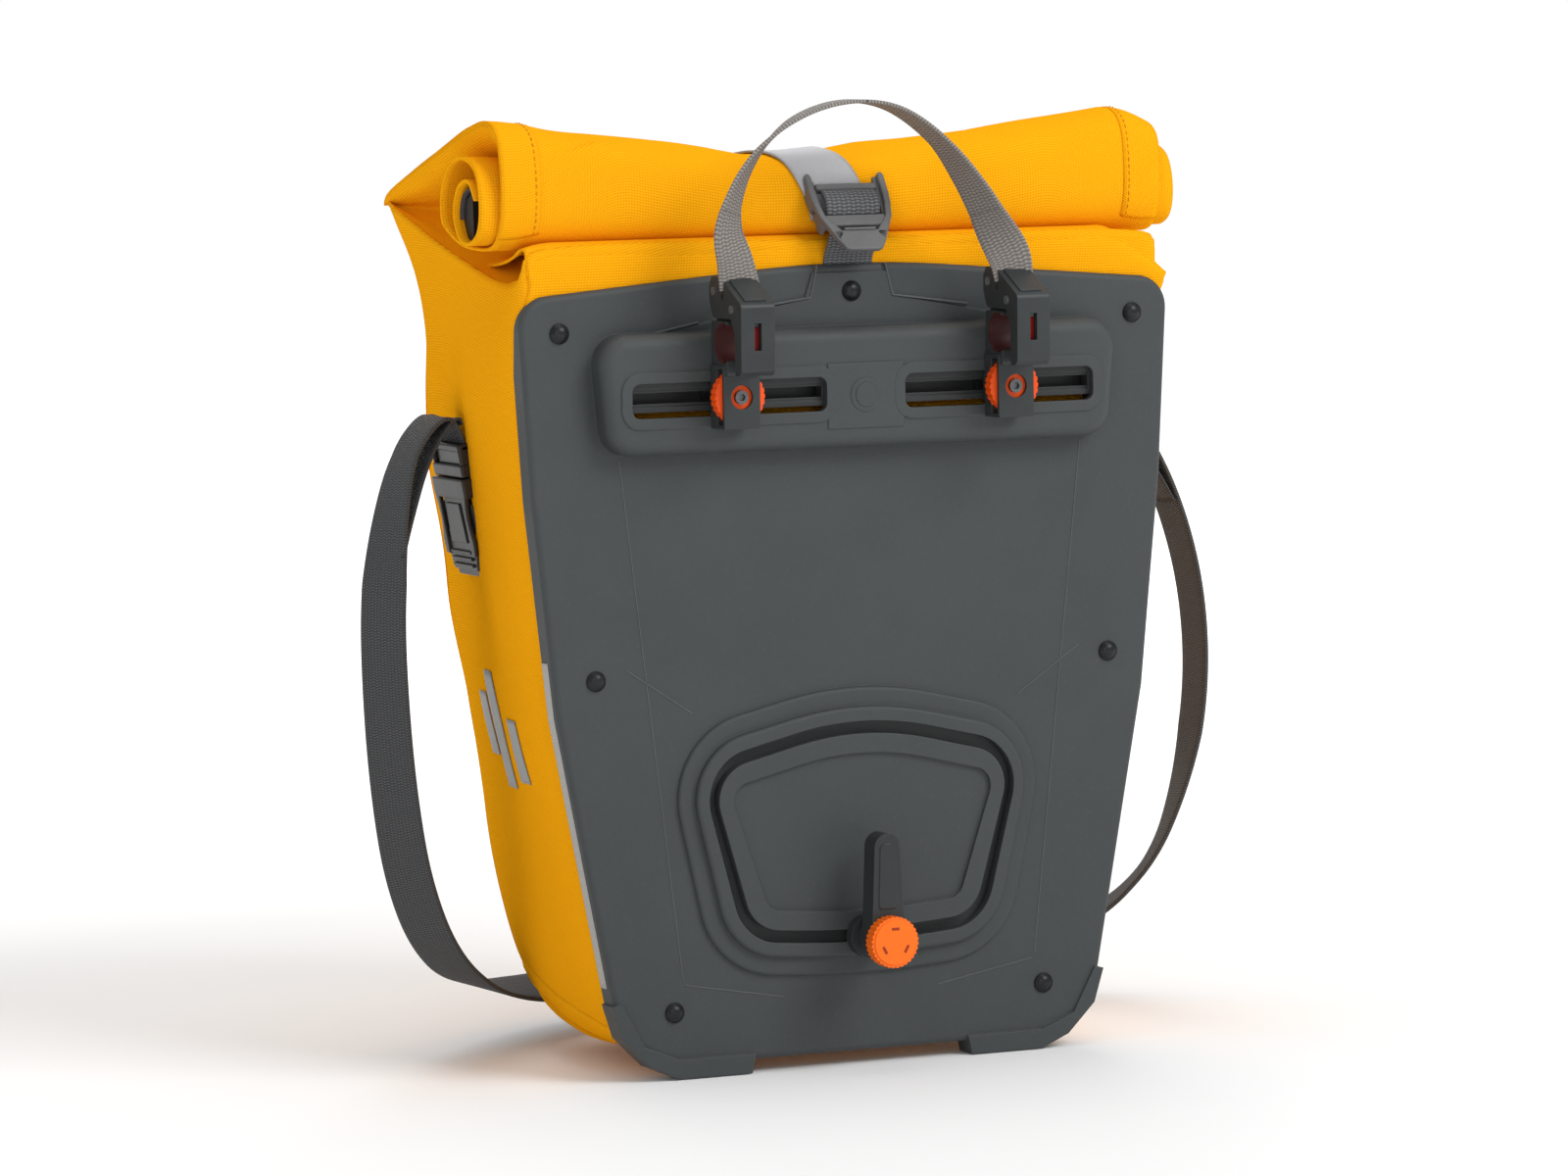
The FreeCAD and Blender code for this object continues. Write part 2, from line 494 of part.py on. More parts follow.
def make_hook(side, sign):
    across = f"{sign} * hook_spread"
    base = centred_block(f"block_{side}", "block_half", "block_front", "block_low", "block_back", "331")
    jaw = prism(f"jaw_{side}", "YZ_Plane",
                reach_points([("block_back", "326"), ("33", "326"), ("33", "351.4"),
                              ("block_back", "351.4")]),
                "-jaw_half", "2 * jaw_half", [("2", [1])])
    crown = prism(f"crown_{side}", "YZ_Plane",
                  reach_points([("block_back", "350"), ("36", "350"), ("36", "356"), ("32", "360"),
                                ("23", "361"), ("pivot_reach + lug_radius", "pivot_height"),
                                ("pivot_reach - lug_radius", "pivot_height"),
                                ("pivot_reach - lug_radius", "358")]),
                  "-crown_half", "2 * crown_half")
    lug = disc(f"lug_{side}", "YZ_Plane", "-pivot_reach", "pivot_height", "2 * lug_radius",
               "-crown_half", "2 * crown_half")
    rib = centred_block(f"rib_{side}", "jaw_half", "block_back", "slot_low + 1.5",
                        "housing_reach - housing_wall + 0.3", "slot_high - 1.5")
    bore = disc(f"bore_{side}", "YZ_Plane", "-tube_reach", "tube_height", "2 * bore_radius",
                "-block_half - 1", "2 * block_half + 2")
    pivot_hole = disc(f"pivot_hole_{side}", "YZ_Plane", "-pivot_reach", "pivot_height", "pivot_size",
                      "-block_half", "2 * block_half")
    wheel_room = centred_block(f"wheel_room_{side}", "block_half + 1", "wheel_back + wheel_thick + 0.3",
                               "screw_height - wheel_size / 2 - 0.4", "wheel_back - 0.3",
                               "screw_height + wheel_size / 2 + 0.4")
    screw_hole = disc(f"screw_hole_{side}", "XZ_Plane", "0", "screw_height", "screw_size",
                      "housing_reach - 5", "block_front")
    head_hole = disc(f"head_hole_{side}", "XZ_Plane", "0", "screw_height", "screw_window",
                     "wheel_back + wheel_thick", "12")
    solid = join(f"hook_solid_{side}", base, jaw, crown, lug, rib)
    keep(carve(f"hook_{side}", solid, bore, pivot_hole, wheel_room, screw_hole, head_hole),
         f"hook_body_{side}", across)

    ring = disc(f"liner_ring_{side}", "YZ_Plane", "-tube_reach", "tube_height", "2 * liner_radius",
                "-jaw_half", "2 * jaw_half")
    tube = disc(f"liner_bore_{side}", "YZ_Plane", "-tube_reach", "tube_height", "2 * tube_radius",
                "-jaw_half - 1", "2 * jaw_half + 2")
    front = centred_block(f"liner_front_{side}", "jaw_half + 1", "tube_reach + 12", "tube_height - 12",
                          "tube_reach", "tube_height + 12")
    keep(carve(f"liner_{side}", ring, tube, front), f"jaw_liner_{side}", across)

    wheel = knurled_disc(f"wheel_{side}", "screw_height", "wheel_size", "wheel_back", "wheel_thick",
                         "wheel_bore", 26)
    keep(wheel, f"clamp_wheel_{side}", across)
    shank = disc(f"shank_{side}", "XZ_Plane", "0", "screw_height", "screw_size", "rail_back - 3.2",
                 "wheel_back + wheel_thick + 3.7 - rail_back")
    head = disc(f"head_{side}", "XZ_Plane", "0", "screw_height", "screw_head",
                "wheel_back + wheel_thick + 0.3", "1.8")
    socket = prism(f"socket_{side}", "XZ_Plane",
                   [(f"{1.8 * math.cos(k * math.pi / 3):.3f}",
                     f"screw_height + {1.8 * math.sin(k * math.pi / 3):.3f}") for k in range(6)],
                   "block_front - 1.6", "4")
    keep(carve(f"screw_{side}", join(f"screw_solid_{side}", shank, head), socket),
         f"clamp_screw_{side}", across)
    nut = centred_block(f"nut_{side}", "jaw_half", "rail_back - 0.2", "screw_height - 4.5",
                        "rail_back - 3.2", "screw_height + 8")
    nut_hole = disc(f"nut_hole_{side}", "XZ_Plane", "0", "screw_height", "screw_size", "0", "9")
    keep(carve(f"nut_plate_solid_{side}", nut, nut_hole), f"nut_plate_{side}", across)
    make_lever(side, across)


def cross_pin(name, reach, height, size, half):
    return disc(name, "YZ_Plane", f"-({reach})", height, size, f"-({half})", f"2 * ({half})")


def make_lever(side, across):
    outer = prism(f"lever_outer_{side}", "YZ_Plane",
                  reach_points([("14.8", "361"), ("14.8", "368"), ("18", "372"), ("27", "372"),
                                ("lever_front", "359.5"), ("lever_front - 0.6", "329"),
                                ("lever_front - 3", "327"), ("42.5", "327"), ("42.5", "346"),
                                ("38", "352.8"), ("18", "352.8")]),
                  "-cheek_outer", "2 * cheek_outer",
                  [("2.5", [1, 2]), ("6", [3]), ("3.5", [4]), ("1.5", [5, 9]), ("4", [0, 10])])
    channel = prism(f"lever_channel_{side}", "YZ_Plane",
                    reach_points([("12", "340"), ("42.5", "340"), ("42.5", "361.2"), ("27", "369.6"),
                                  ("12", "369.6")]),
                    "-cheek_inner", "2 * cheek_inner")
    open_top = centred_block(f"lever_open_top_{side}", "cheek_inner", "24.5", "360", "12", "373")
    seat = centred_block(f"lever_seat_{side}", "cheek_inner", "46", "330", "42", "351")
    window = centred_block(f"lever_window_{side}", "1.8", "lever_front + 1", "338.5", "45", "351")
    pivot = cross_pin(f"lever_bore_{side}", "pivot_reach", "pivot_height", "pivot_bore", "10")
    pawl_hole = cross_pin(f"pawl_hole_{side}", "pawl_reach", "pawl_height", "pivot_size", "10")
    pin_hole = cross_pin(f"pin_hole_{side}", "handle_pin_reach", "handle_pin_height",
                         "handle_pin_size", "10")
    tab_slot = centred_block(f"tab_slot_{side}", "cheek_inner", "handle_pin_reach + 1.2", "364",
                             "handle_pin_reach - 1.2", "373")
    keep(carve(f"lever_{side}", outer, channel, open_top, seat, window, pivot, pawl_hole, pin_hole,
               tab_slot), f"hook_lever_{side}", across)
    keep(cross_pin(f"pivot_pin_{side}", "pivot_reach", "pivot_height", "pivot_size",
                   "cheek_outer + 0.3"), f"lever_pin_{side}", across)
    keep(cross_pin(f"pawl_solid_{side}", "pawl_reach", "pawl_height", "pivot_size",
                   "cheek_outer + 0.3"), f"pawl_pin_{side}", across)
    keep(cross_pin(f"handle_pin_solid_{side}", "handle_pin_reach", "handle_pin_height",
                   "handle_pin_size", "cheek_outer"), f"handle_pin_{side}", across)
    insert = centred_block(f"insert_{side}", "cheek_inner - 0.1", "45.9", "331.5", "37.4", "349")
    keep(insert, f"lever_insert_{side}", across)
    tongue = centred_block(f"tongue_{side}", "cheek_inner - 0.3", "handle_pin_reach + 1",
                           "handle_pin_height - 1", "handle_pin_reach - 1", "372")
    loop = centred_block(f"loop_{side}", "handle_half", "handle_pin_reach + 1", "371.6",
                         "handle_pin_reach - 1", "392")
    pin_room = cross_pin(f"tab_bore_{side}", "handle_pin_reach", "handle_pin_height",
                         "handle_pin_size", "10")
    keep(carve(f"handle_tab_{side}", join(f"handle_tab_solid_{side}", tongue, loop), pin_room),
         f"handle_end_{side}", across)


# ---------------------------------------------------------------- lower latch

def make_latch():
    def latch_disc(name, size, back, front):
        return disc(name, "XZ_Plane", "0", "latch_height", size, back, f"{front} - ({back})")

    carriage = join("carriage_solid",
                    latch_disc("carriage_plate", "carriage_size", "track_reach + 0.3", "carriage_top"),
                    latch_disc("carriage_neck", "neck_size", "undercut_front - 0.5", "carriage_top"),
                    latch_disc("carriage_foot", "foot_size", "undercut_back + 0.3",
                               "undercut_front - 0.3"))
    keep(carve("carriage", carriage, latch_disc("carriage_bore", "bolt_size", "-5", "20")),
         "latch_carriage")
    keep(latch_disc("bolt", "bolt_size", "undercut_back + 0.3", "knob_front - 2"), "latch_bolt")

    blade = prism("arm_blade", "XZ_Plane",
                  [("-arm_root", "latch_height"), ("arm_root", "latch_height"),
                   ("arm_tip", "arm_tip_height"), ("-arm_tip", "arm_tip_height")],
                  "arm_back", "arm_front - arm_back")
    root = latch_disc("arm_root_disc", "2 * arm_root", "arm_back", "arm_front")
    tip = disc("arm_tip_disc", "XZ_Plane", "0", "arm_tip_height", "2 * arm_tip", "arm_back",
               "arm_front - arm_back")
    boss = latch_disc("arm_boss", "boss_size", "carriage_top + 0.3", "arm_back + 1")
    inset = prism("arm_inset", "XZ_Plane",
                  [("-5", "latch_height + 15"), ("5", "latch_height + 15"),
                   ("3.8", "arm_tip_height + 2"), ("-3.8", "arm_tip_height + 2")],
                  "arm_front - 1", "1.8", [("2", [0, 1]), ("3.2", [2, 3])])
    round_edges(inset, "0.5", in_plane("Y", -SIZES["arm_front"] - 0.8))
    solid = join("arm_solid", blade, root, tip, boss)
    arm = carve("arm", join("arm_whole", solid, inset), latch_disc("arm_bore", "bolt_bore", "0", "50"))
    keep(arm, "latch_arm")

    knob = knurled_disc("knob", "latch_height", "knob_size", "knob_back", "knob_front - knob_back",
                        "bolt_bore", 32)
    cap = latch_disc("knob_cap", "knob_size - 3", "knob_front - 1", "knob_front + 0.6")
    keep(join("knob_whole", knob, cap), "latch_knob")


# ---------------------------------------------------------------- side buckles and shoulder strap

def buckle_block(name, thick, y_low, y_high, low, high):
    """A block of the side buckle, centred on the buckle's middle plane."""
    return block(name, f"-({thick}) / 2", f"buckle_y + {y_low}", low, thick, f"{y_high} - ({y_low})",
                 f"{high} - ({low})")


def make_side_buckle(side, sign):
    across = f"{sign} * buckle_x"
    shell = buckle_block(f"socket_shell_{side}", "socket_thick", "-socket_half", "socket_half",
                         "socket_low", "socket_high")
    pocket = buckle_block(f"socket_pocket_{side}", "pocket_thick", "-pocket_half", "pocket_half",
                          "socket_low + 10", "socket_high + 1")
    windows = buckle_block(f"socket_windows_{side}", "pocket_thick", "-socket_half - 1",
                           "socket_half + 1", "250", "265")
    bar_slot = buckle_block(f"socket_slot_{side}", "socket_thick + 2", "-13.5", "13.5", "240", "244")
    keep(carve(f"socket_body_{side}", shell, pocket, windows, bar_slot), f"buckle_socket_{side}", across)

    head = buckle_block(f"plug_head_{side}", "9", "-17.5", "17.5", "socket_high + 0.3", "plug_high")
    tongue = buckle_block(f"plug_tongue_{side}", "6.4", "-3", "3", "249", "socket_high + 1")
    plug_slot = buckle_block(f"plug_slot_{side}", "11", "-15", "15", "socket_high + 4",
                             "socket_high + 8")
    keep(carve(f"plug_{side}", join(f"plug_solid_{side}", head, tongue), plug_slot),
         f"buckle_plug_{side}", across)

    for place, turn in (("front", -1), ("rear", 1)):
        name = f"{side}_{place}"
        prong = prism(f"prong_shape_{name}", "YZ_Plane",
                      [(f"buckle_y + {turn} * prong_inner", "socket_high - 0.3"),
                       (f"buckle_y + {turn} * prong_outer", "socket_high - 0.3"),
                       (f"buckle_y + {turn} * prong_outer", "264"),
                       (f"buckle_y + {turn} * (button_outer - 0.6)", "263"),
                       (f"buckle_y + {turn} * button_outer", "257"),
                       (f"buckle_y + {turn} * prong_outer", "250.6"),
                       (f"buckle_y + {turn} * prong_inner", "250.6")],
                      "-3.2", "6.4")
        keep(prong, f"buckle_prong_{name}", across)

    inward = -sign
    patch = block(f"patch_{side}", f"{inward} * 7.1 - 0.9", "buckle_y - 17", "229", "1.8", "34", "32")
    web = prism(f"web_{side}", "XZ_Plane",
                [(f"{inward} * 8", "229"), (f"{inward} * 8", "231.5"), (f"{inward} * 6.2", "231.5"),
                 (f"{inward} * 0.9", "235.6"), (f"{inward} * 0.9", "socket_low"),
                 (f"{inward} * (-0.9)", "socket_low"), (f"{inward} * (-0.9)", "234.4"),
                 (f"{inward} * 6.4", "229")], "-(buckle_y + 13)", "26")
    keep(join(f"anchor_{side}", patch, web), f"buckle_anchor_{side}", across)


# The shoulder strap's middle line, from the left buckle round behind the bag to the right one.
STRAP_ROUTE = [(-153, 98, 291), (-155, 98, 302), (-171, 97, 307), (-187, 95, 289), (-196, 92, 256),
               (-201, 90, 216), (-200, 90, 170), (-196, 92, 128), (-188, 97, 88), (-172, 107, 54),
               (-146, 126, 32), (-108, 160, 22), (-62, 190, 20), (-5, 206, 24), (52, 210, 23),
               (108, 200, 21), (158, 173, 24), (194, 140, 38), (213, 112, 68), (223, 98, 110),
               (229, 92, 157), (227, 92, 205), (216, 94, 249), (198, 96, 285), (176, 97, 307),
               (158, 98, 304), (153, 98, 291)]
RUN_SHARE = 0.45


def corded_path(route):
    """Straight runs joined by tangent arcs, each as large as its two runs allow."""
    points = [Vector(*point) for point in route]
    edges = []
    radii = []
    start = points[0]
    for before, corner, after in zip(points, points[1:], points[2:]):
        back = (before - corner).normalize()
        ahead = (after - corner).normalize()
        half_turn = (math.pi - back.getAngle(ahead)) / 2
        trim = RUN_SHARE * min((before - corner).Length, (after - corner).Length)
        radius = trim / math.tan(half_turn)
        bisector = (back + ahead).normalize()
        middle = corner + bisector * (radius / math.cos(half_turn) - radius)
        first = corner + back * trim
        last = corner + ahead * trim
        edges.append(Part.LineSegment(start, first).toShape())
        edges.append(Part.Arc(first, middle, last).toShape())
        radii.append(radius)
        start = last
    edges.append(Part.LineSegment(start, points[-1]).toShape())
    return Part.Wire(edges), radii


def make_shoulder_strap():
    path, radii = corded_path(STRAP_ROUTE)
    first, second = (Vector(*point) for point in STRAP_ROUTE[:2])
    radius = SIZES["strap_tube"] / 2
    section = Part.Wire(Part.makeCircle(radius, first, second - first))
    tube = path.makePipeShell([section], True, False)
    strap = document.addObject("Part::Feature", "strap_tube_solid")
    strap.Shape = tube
    keep(strap, "shoulder_strap")
    expected = math.pi * radius ** 2 * path.Length
    print(f"shoulder strap: length {path.Length:.1f}, volume {tube.Volume / expected:.4f} of expected")
    print("shoulder strap radii:", " ".join(f"{value:.0f}" for value in radii))
    if abs(tube.Volume / expected - 1) > 0.01:
        raise ValueError("the shoulder strap's volume is wrong")


# ---------------------------------------------------------------- build and write

make_plate()
make_rail()
make_rivets()
make_bag()
make_roll()
make_closure()
make_carry_handle()
for side_name, side_sign in (("left", -1), ("right", 1)):
    make_hook(side_name, side_sign)
    make_side_buckle(side_name, side_sign)
make_latch()
make_shoulder_strap()
document.recompute()

for item in document.Objects:
    if "Invalid" in item.State or "Error" in item.State:
        raise ValueError(f"{item.Name} failed: {item.State}")
for item in subparts:
    if item.Shape.isNull() or not item.Shape.isValid() or not item.Shape.Solids:
        raise ValueError(f"{item.Label} has no valid solid")

os.makedirs("parts", exist_ok=True)
for item in subparts:
    item.Shape.exportStep(f"parts/{item.Label}.step")
    box = item.Shape.BoundBox
    print(f"{item.Label}: {len(item.Shape.Solids)} solid(s), {item.Shape.Volume / 1000:.2f} cm3, "
          f"X {box.XMin:.1f}..{box.XMax:.1f} Y {box.YMin:.1f}..{box.YMax:.1f} "
          f"Z {box.ZMin:.1f}..{box.ZMax:.1f}")
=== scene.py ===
"""The looks of a roll-top bicycle pannier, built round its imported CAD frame."""

import math

import bmesh
import bpy
import numpy as np
from mathutils import Matrix, Vector, noise
from mathutils.bvhtree import BVHTree


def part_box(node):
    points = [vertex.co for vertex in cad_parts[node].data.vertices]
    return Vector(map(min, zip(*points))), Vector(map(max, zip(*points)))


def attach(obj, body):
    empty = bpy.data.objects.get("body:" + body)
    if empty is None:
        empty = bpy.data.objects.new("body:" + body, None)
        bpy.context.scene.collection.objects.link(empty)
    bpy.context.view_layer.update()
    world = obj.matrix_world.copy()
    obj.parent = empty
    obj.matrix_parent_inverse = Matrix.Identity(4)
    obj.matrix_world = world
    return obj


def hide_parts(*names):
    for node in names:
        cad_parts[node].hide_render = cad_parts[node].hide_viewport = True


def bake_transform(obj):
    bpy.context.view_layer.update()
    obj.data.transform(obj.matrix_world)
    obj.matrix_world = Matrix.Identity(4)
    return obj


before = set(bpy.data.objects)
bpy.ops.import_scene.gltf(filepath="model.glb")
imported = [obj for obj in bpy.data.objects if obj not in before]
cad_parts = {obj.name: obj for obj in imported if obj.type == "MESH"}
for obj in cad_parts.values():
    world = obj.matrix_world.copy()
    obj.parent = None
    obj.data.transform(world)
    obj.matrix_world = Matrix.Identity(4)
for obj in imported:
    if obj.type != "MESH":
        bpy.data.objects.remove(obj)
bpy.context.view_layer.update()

MM = 0.001
TRAY_DEPTH = 12.0
FACE_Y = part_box("back_plate")[1].y - TRAY_DEPTH * MM
SIDES = (("left", -1), ("right", 1))


def at(x, y, z):
    """A point in millimetres from the plate's face (Y = 0 there, into the bag), as metres in the frame."""
    return Vector((x * MM, y * MM + FACE_Y, z * MM))


def mesh_of(name, verts, faces):
    mesh = bpy.data.meshes.new(name)
    mesh.from_pydata(verts, [], faces)
    return mesh


def linked(name, data):
    """A new object in the scene."""
    made = bpy.data.objects.new(name, data)
    bpy.context.collection.objects.link(made)
    return made


# ---- camera, light and floor

CAMERA_YAW = math.radians(24.73)
CAMERA_PITCH = math.radians(4.89)
CAMERA_ROLL = math.radians(-0.93)
CAMERA_DISTANCE = 3245.0
CAMERA_TARGET = (-36.3, 0.0, 225.3)
CAMERA_LENS = 160.7


def make_camera():
    data = bpy.data.cameras.new("camera")
    data.lens = CAMERA_LENS
    data.sensor_width = 36.0
    camera = linked("camera", data)
    yaw, pitch = CAMERA_YAW, CAMERA_PITCH
    back = Vector((-math.sin(yaw) * math.cos(pitch), -math.cos(yaw) * math.cos(pitch), math.sin(pitch)))
    level = Vector((math.cos(yaw), -math.sin(yaw), 0))
    upright = back.cross(level)
    right = math.cos(CAMERA_ROLL) * level + math.sin(CAMERA_ROLL) * upright
    up = math.cos(CAMERA_ROLL) * upright - math.sin(CAMERA_ROLL) * level
    turn = Matrix((right, up, back)).transposed()
    place = at(*CAMERA_TARGET) + back * CAMERA_DISTANCE * MM
    camera.matrix_world = Matrix.Translation(place) @ turn.to_4x4()
    bpy.context.scene.camera = camera


# Each light's name, place, size and power. All point at the middle of the object.
LIGHTS = [("key", (1.3, -2.2, 2.3), (1.6, 1.6), 58), ("front_fill", (-1.2, -2.6, 1.2), (1.8, 1.8), 12),
          ("left_fill", (-2.6, 0.4, 1.6), (1.4, 1.4), 5), ("back_light", (0.6, 2.4, 1.9), (1.8, 1.6), 22),
          ("top", (0.0, 0.1, 2.6), (1.8, 1.8), 16)]
LIGHT_AIM = Vector((0.0, 0.0, 0.2))
FLOOR_HALF = 9.0


def make_light(name, place, size, power):
    data = bpy.data.lights.new(name, "AREA")
    data.shape = "RECTANGLE"
    data.size, data.size_y = size
    data.energy = power
    lamp = linked(name, data)
    lamp.location = place
    lamp.rotation_euler = (Vector(place) - LIGHT_AIM).to_track_quat("Z", "Y").to_euler()


def make_studio():
    for name, place, size, power in LIGHTS:
        make_light(name, place, size, power)
    make_world()
    bpy.context.scene.view_settings.view_transform = "Standard"
    corners = [(x * FLOOR_HALF, y * FLOOR_HALF, 0) for x, y in ((-1, -1), (1, -1), (1, 1), (-1, 1))]
    floor = linked("floor", mesh_of("floor", corners, [(0, 1, 2, 3)]))
    floor.location.z = -0.0005
    floor.data.materials.append(floor_material())


def make_world():
    """White behind the object, and a softer white as the light that falls on it."""
    world = bpy.data.worlds.new("studio")
    world.use_nodes = True
    tree = world.node_tree
    back = tree.nodes["Background"]
    back.inputs["Color"].default_value = (1.0, 1.0, 1.0, 1)
    path = tree.nodes.new("ShaderNodeLightPath")
    strength = tree.nodes.new("ShaderNodeMapRange")
    strength.inputs["To Min"].default_value = 0.46
    strength.inputs["To Max"].default_value = 1.0
    tree.links.new(path.outputs["Is Camera Ray"], strength.inputs["Value"])
    tree.links.new(strength.outputs[0], back.inputs["Strength"])
    bpy.context.scene.world = world


# ---- node helpers and materials

class Nodes:
    """A short way to write a material's nodes."""

    def __init__(self, name):
        self.material = bpy.data.materials.new(name)
        self.material.use_nodes = True
        self.tree = self.material.node_tree
        self.shader = self.tree.nodes["Principled BSDF"]

    def put(self, socket, value):
        if isinstance(value, bpy.types.NodeSocket):
            self.tree.links.new(value, socket)
        elif hasattr(value, "__len__") and len(value) == 3 and socket.type == "RGBA":
            socket.default_value = (*value, 1)
        else:
            socket.default_value = value

    def node(self, kind, inputs=None, output=0, **settings):
        made = self.tree.nodes.new("ShaderNode" + kind)
        for key, value in settings.items():
            setattr(made, key, value)
        for key, value in (inputs or {}).items():
            self.put(made.inputs[key], value)
        return made.outputs[output]

    def math(self, operation, first, second=0.0, third=0.0):
        return self.node("Math", {0: first, 1: second, 2: third}, operation=operation)

    def blend(self, factor, first, second):
        return self.node("Mix", {0: factor, 6: first, 7: second}, output=2, data_type="RGBA")

    def laid(self, body, value, low, high, amount, colour):
        """One colour laid over another where a value goes from low to high."""
        return self.blend(self.math("MULTIPLY", self.spread(value, low, high), amount), body, colour)

    def noise(self, place, scale, detail=3.0, rough=0.55):
        return self.node("TexNoise", {"Vector": place, "Scale": scale, "Detail": detail, "Roughness": rough})

    def spread(self, value, low, high, to_low=0.0, to_high=1.0):
        return self.node("MapRange", {"Value": value, "From Min": low, "From Max": high,
                                      "To Min": to_low, "To Max": to_high}, clamp=True)

    def place(self):
        """The point on the surface in metres, which rides with its piece."""
        return self.node("TexCoord", output=3)

    def cloth(self):
        """Along and across the cloth in metres, from the mesh's own attribute."""
        both = self.node("Attribute", {}, output=1, attribute_name="cloth")
        split = self.tree.nodes.new("ShaderNodeSeparateXYZ")
        self.tree.links.new(both, split.inputs[0])
        return split.outputs[0], split.outputs[1]

    def bump(self, height, strength, distance, normal=None):
        inputs = {"Height": height, "Strength": strength, "Distance": distance}
        if normal is not None:
            inputs["Normal"] = normal
        return self.node("Bump", inputs)

    def set(self, **values):
        for key, value in values.items():
            self.put(self.shader.inputs[key.replace("_", " ")], value)
        return self.material


def shade(colour, factor, most=math.inf):
    """A colour made darker or lighter, up to a limit."""
    return tuple(min(most, c * factor) for c in colour)


def floor_material():
    """White paper that brightens to the background's white away from the object."""
    n = Nodes("floor_paper")
    away = n.node("VectorMath", {0: n.place()}, output=1, operation="LENGTH")
    glow = n.spread(away, 0.55, 2.4, 0.02, 0.75)
    return n.set(Base_Color=(0.9, 0.9, 0.9), Roughness=0.85, Emission_Color=(1.0, 1.0, 1.0),
                 Emission_Strength=glow)


def moulded(name, colour, rough, grain=0.08, edge=0.0003, edge_highlight=1.5, spread=0.12):
    """Moulded plastic: fine spark grain, slight mottling, and softened edges lightened as a painted
    highlight.
    """
    n = Nodes(name)
    place = n.place()
    broad = n.noise(place, 22.0, 3.0)
    specks = n.noise(place, 420.0, 2.0)
    rounded = n.node("Bevel", {"Radius": edge}, samples=4)
    flat = n.node("NewGeometry", output=1)
    turned = n.node("VectorMath", {0: rounded, 1: flat}, output=1, operation="DOT_PRODUCT")
    body = n.blend(n.spread(broad, 0.35, 0.65), shade(colour, 1 - spread), shade(colour, 1 + spread))
    body = n.laid(body, specks, 0.55, 0.75, 0.25, shade(colour, 1.35))
    # Painted highlight: a lighter colour along the edges, where the bevel's rounded normal turns away from
    # the face's own normal.
    body = n.laid(body, turned, 0.985, 0.86, 0.55, tuple(c * edge_highlight + 0.012 for c in colour))
    normal = n.bump(n.noise(place, 1700.0, 2.0), grain, 0.00018, rounded)
    normal = n.bump(specks, grain * 0.5, 0.0003, normal)
    roughness = n.spread(broad, 0.3, 0.7, rough - 0.05, rough + 0.06)
    return n.set(Base_Color=body, Roughness=roughness, Normal=normal, Specular_IOR_Level=0.3)


def woven(name, colour, pitch, rough=0.6, contrast=0.35, depth=0.0004, tint=None, shine=0.08):
    """Plain-weave cloth whose threads follow the cloth's own two directions."""
    n = Nodes(name)
    u, v = n.cloth()
    place = n.place()
    turn = 2 * math.pi / pitch
    wander = n.math("MULTIPLY", n.noise(place, 60.0, 2.0), 1.2)
    over = n.math("SINE", n.math("ADD", n.math("MULTIPLY", u, turn), wander))
    under = n.math("SINE", n.math("ADD", n.math("MULTIPLY", v, turn * 1.12), wander))
    weave = n.math("MULTIPLY_ADD", over, 0.2, n.math("MULTIPLY_ADD", under, 0.3, 0.5))
    threads = n.noise(place, 900.0, 2.0)
    low = shade(colour, 1 - contrast)
    high = tint or shade(colour, 1 + 0.35 * contrast, 1.0)
    soil = 0.06
    body = n.blend(n.spread(weave, 0.15, 0.75), low, high)
    body = n.laid(body, threads, 0.35, 0.7, 0.18, low)
    body = n.laid(body, n.noise(place, 9.0, 4.0), 0.42, 0.72, soil, shade(colour, 0.55))
    body = n.laid(body, n.noise(place, 38.0, 3.0), 0.5, 0.8, soil * 0.8, high)
    normal = n.bump(n.math("MULTIPLY_ADD", threads, 0.25, weave), 0.55, depth)
    roughness = n.spread(weave, 0.0, 1.0, rough + 0.08, rough - 0.06)
    return n.set(Base_Color=body, Roughness=roughness, Normal=normal, Specular_IOR_Level=shine)


def webbing(name, colour, rib, column, contrast=0.5, slant=0.0):
    """Narrow-woven strap: ribs across and columns along."""
    n = Nodes(name)
    u, v = n.cloth()
    place = n.place()
    tau = 2 * math.pi
    leaned = n.math("MULTIPLY_ADD", n.math("PINGPONG", u, column), slant, v)
    ribs = n.math("MULTIPLY_ADD", n.math("SINE", n.math("MULTIPLY", leaned, tau / rib)), 0.5, 0.5)
    columns = n.math("MULTIPLY_ADD", n.math("COSINE", n.math("MULTIPLY", u, tau / column)), 0.5, 0.5)
    weave = n.math("MULTIPLY", n.math("POWER", ribs, 0.7), n.math("MULTIPLY_ADD", columns, 0.6, 0.4))
    threads = n.noise(place, 1500.0, 2.0)
    low = shade(colour, 1 - contrast)
    body = n.blend(n.spread(weave, 0.1, 0.7), low, shade(colour, 1 + 0.6 * contrast, 1.0))
    body = n.laid(body, threads, 0.4, 0.7, 0.35, low)
    body = n.laid(body, n.noise(place, 30.0, 3.0), 0.4, 0.7, 0.15, shade(colour, 0.6))
    normal = n.bump(n.math("MULTIPLY_ADD", threads, 0.3, weave), 0.7, 0.0005)
    roughness = n.spread(weave, 0.0, 1.0, 0.72, 0.54)
    return n.set(Base_Color=body, Roughness=roughness, Normal=normal, Specular_IOR_Level=0.2)


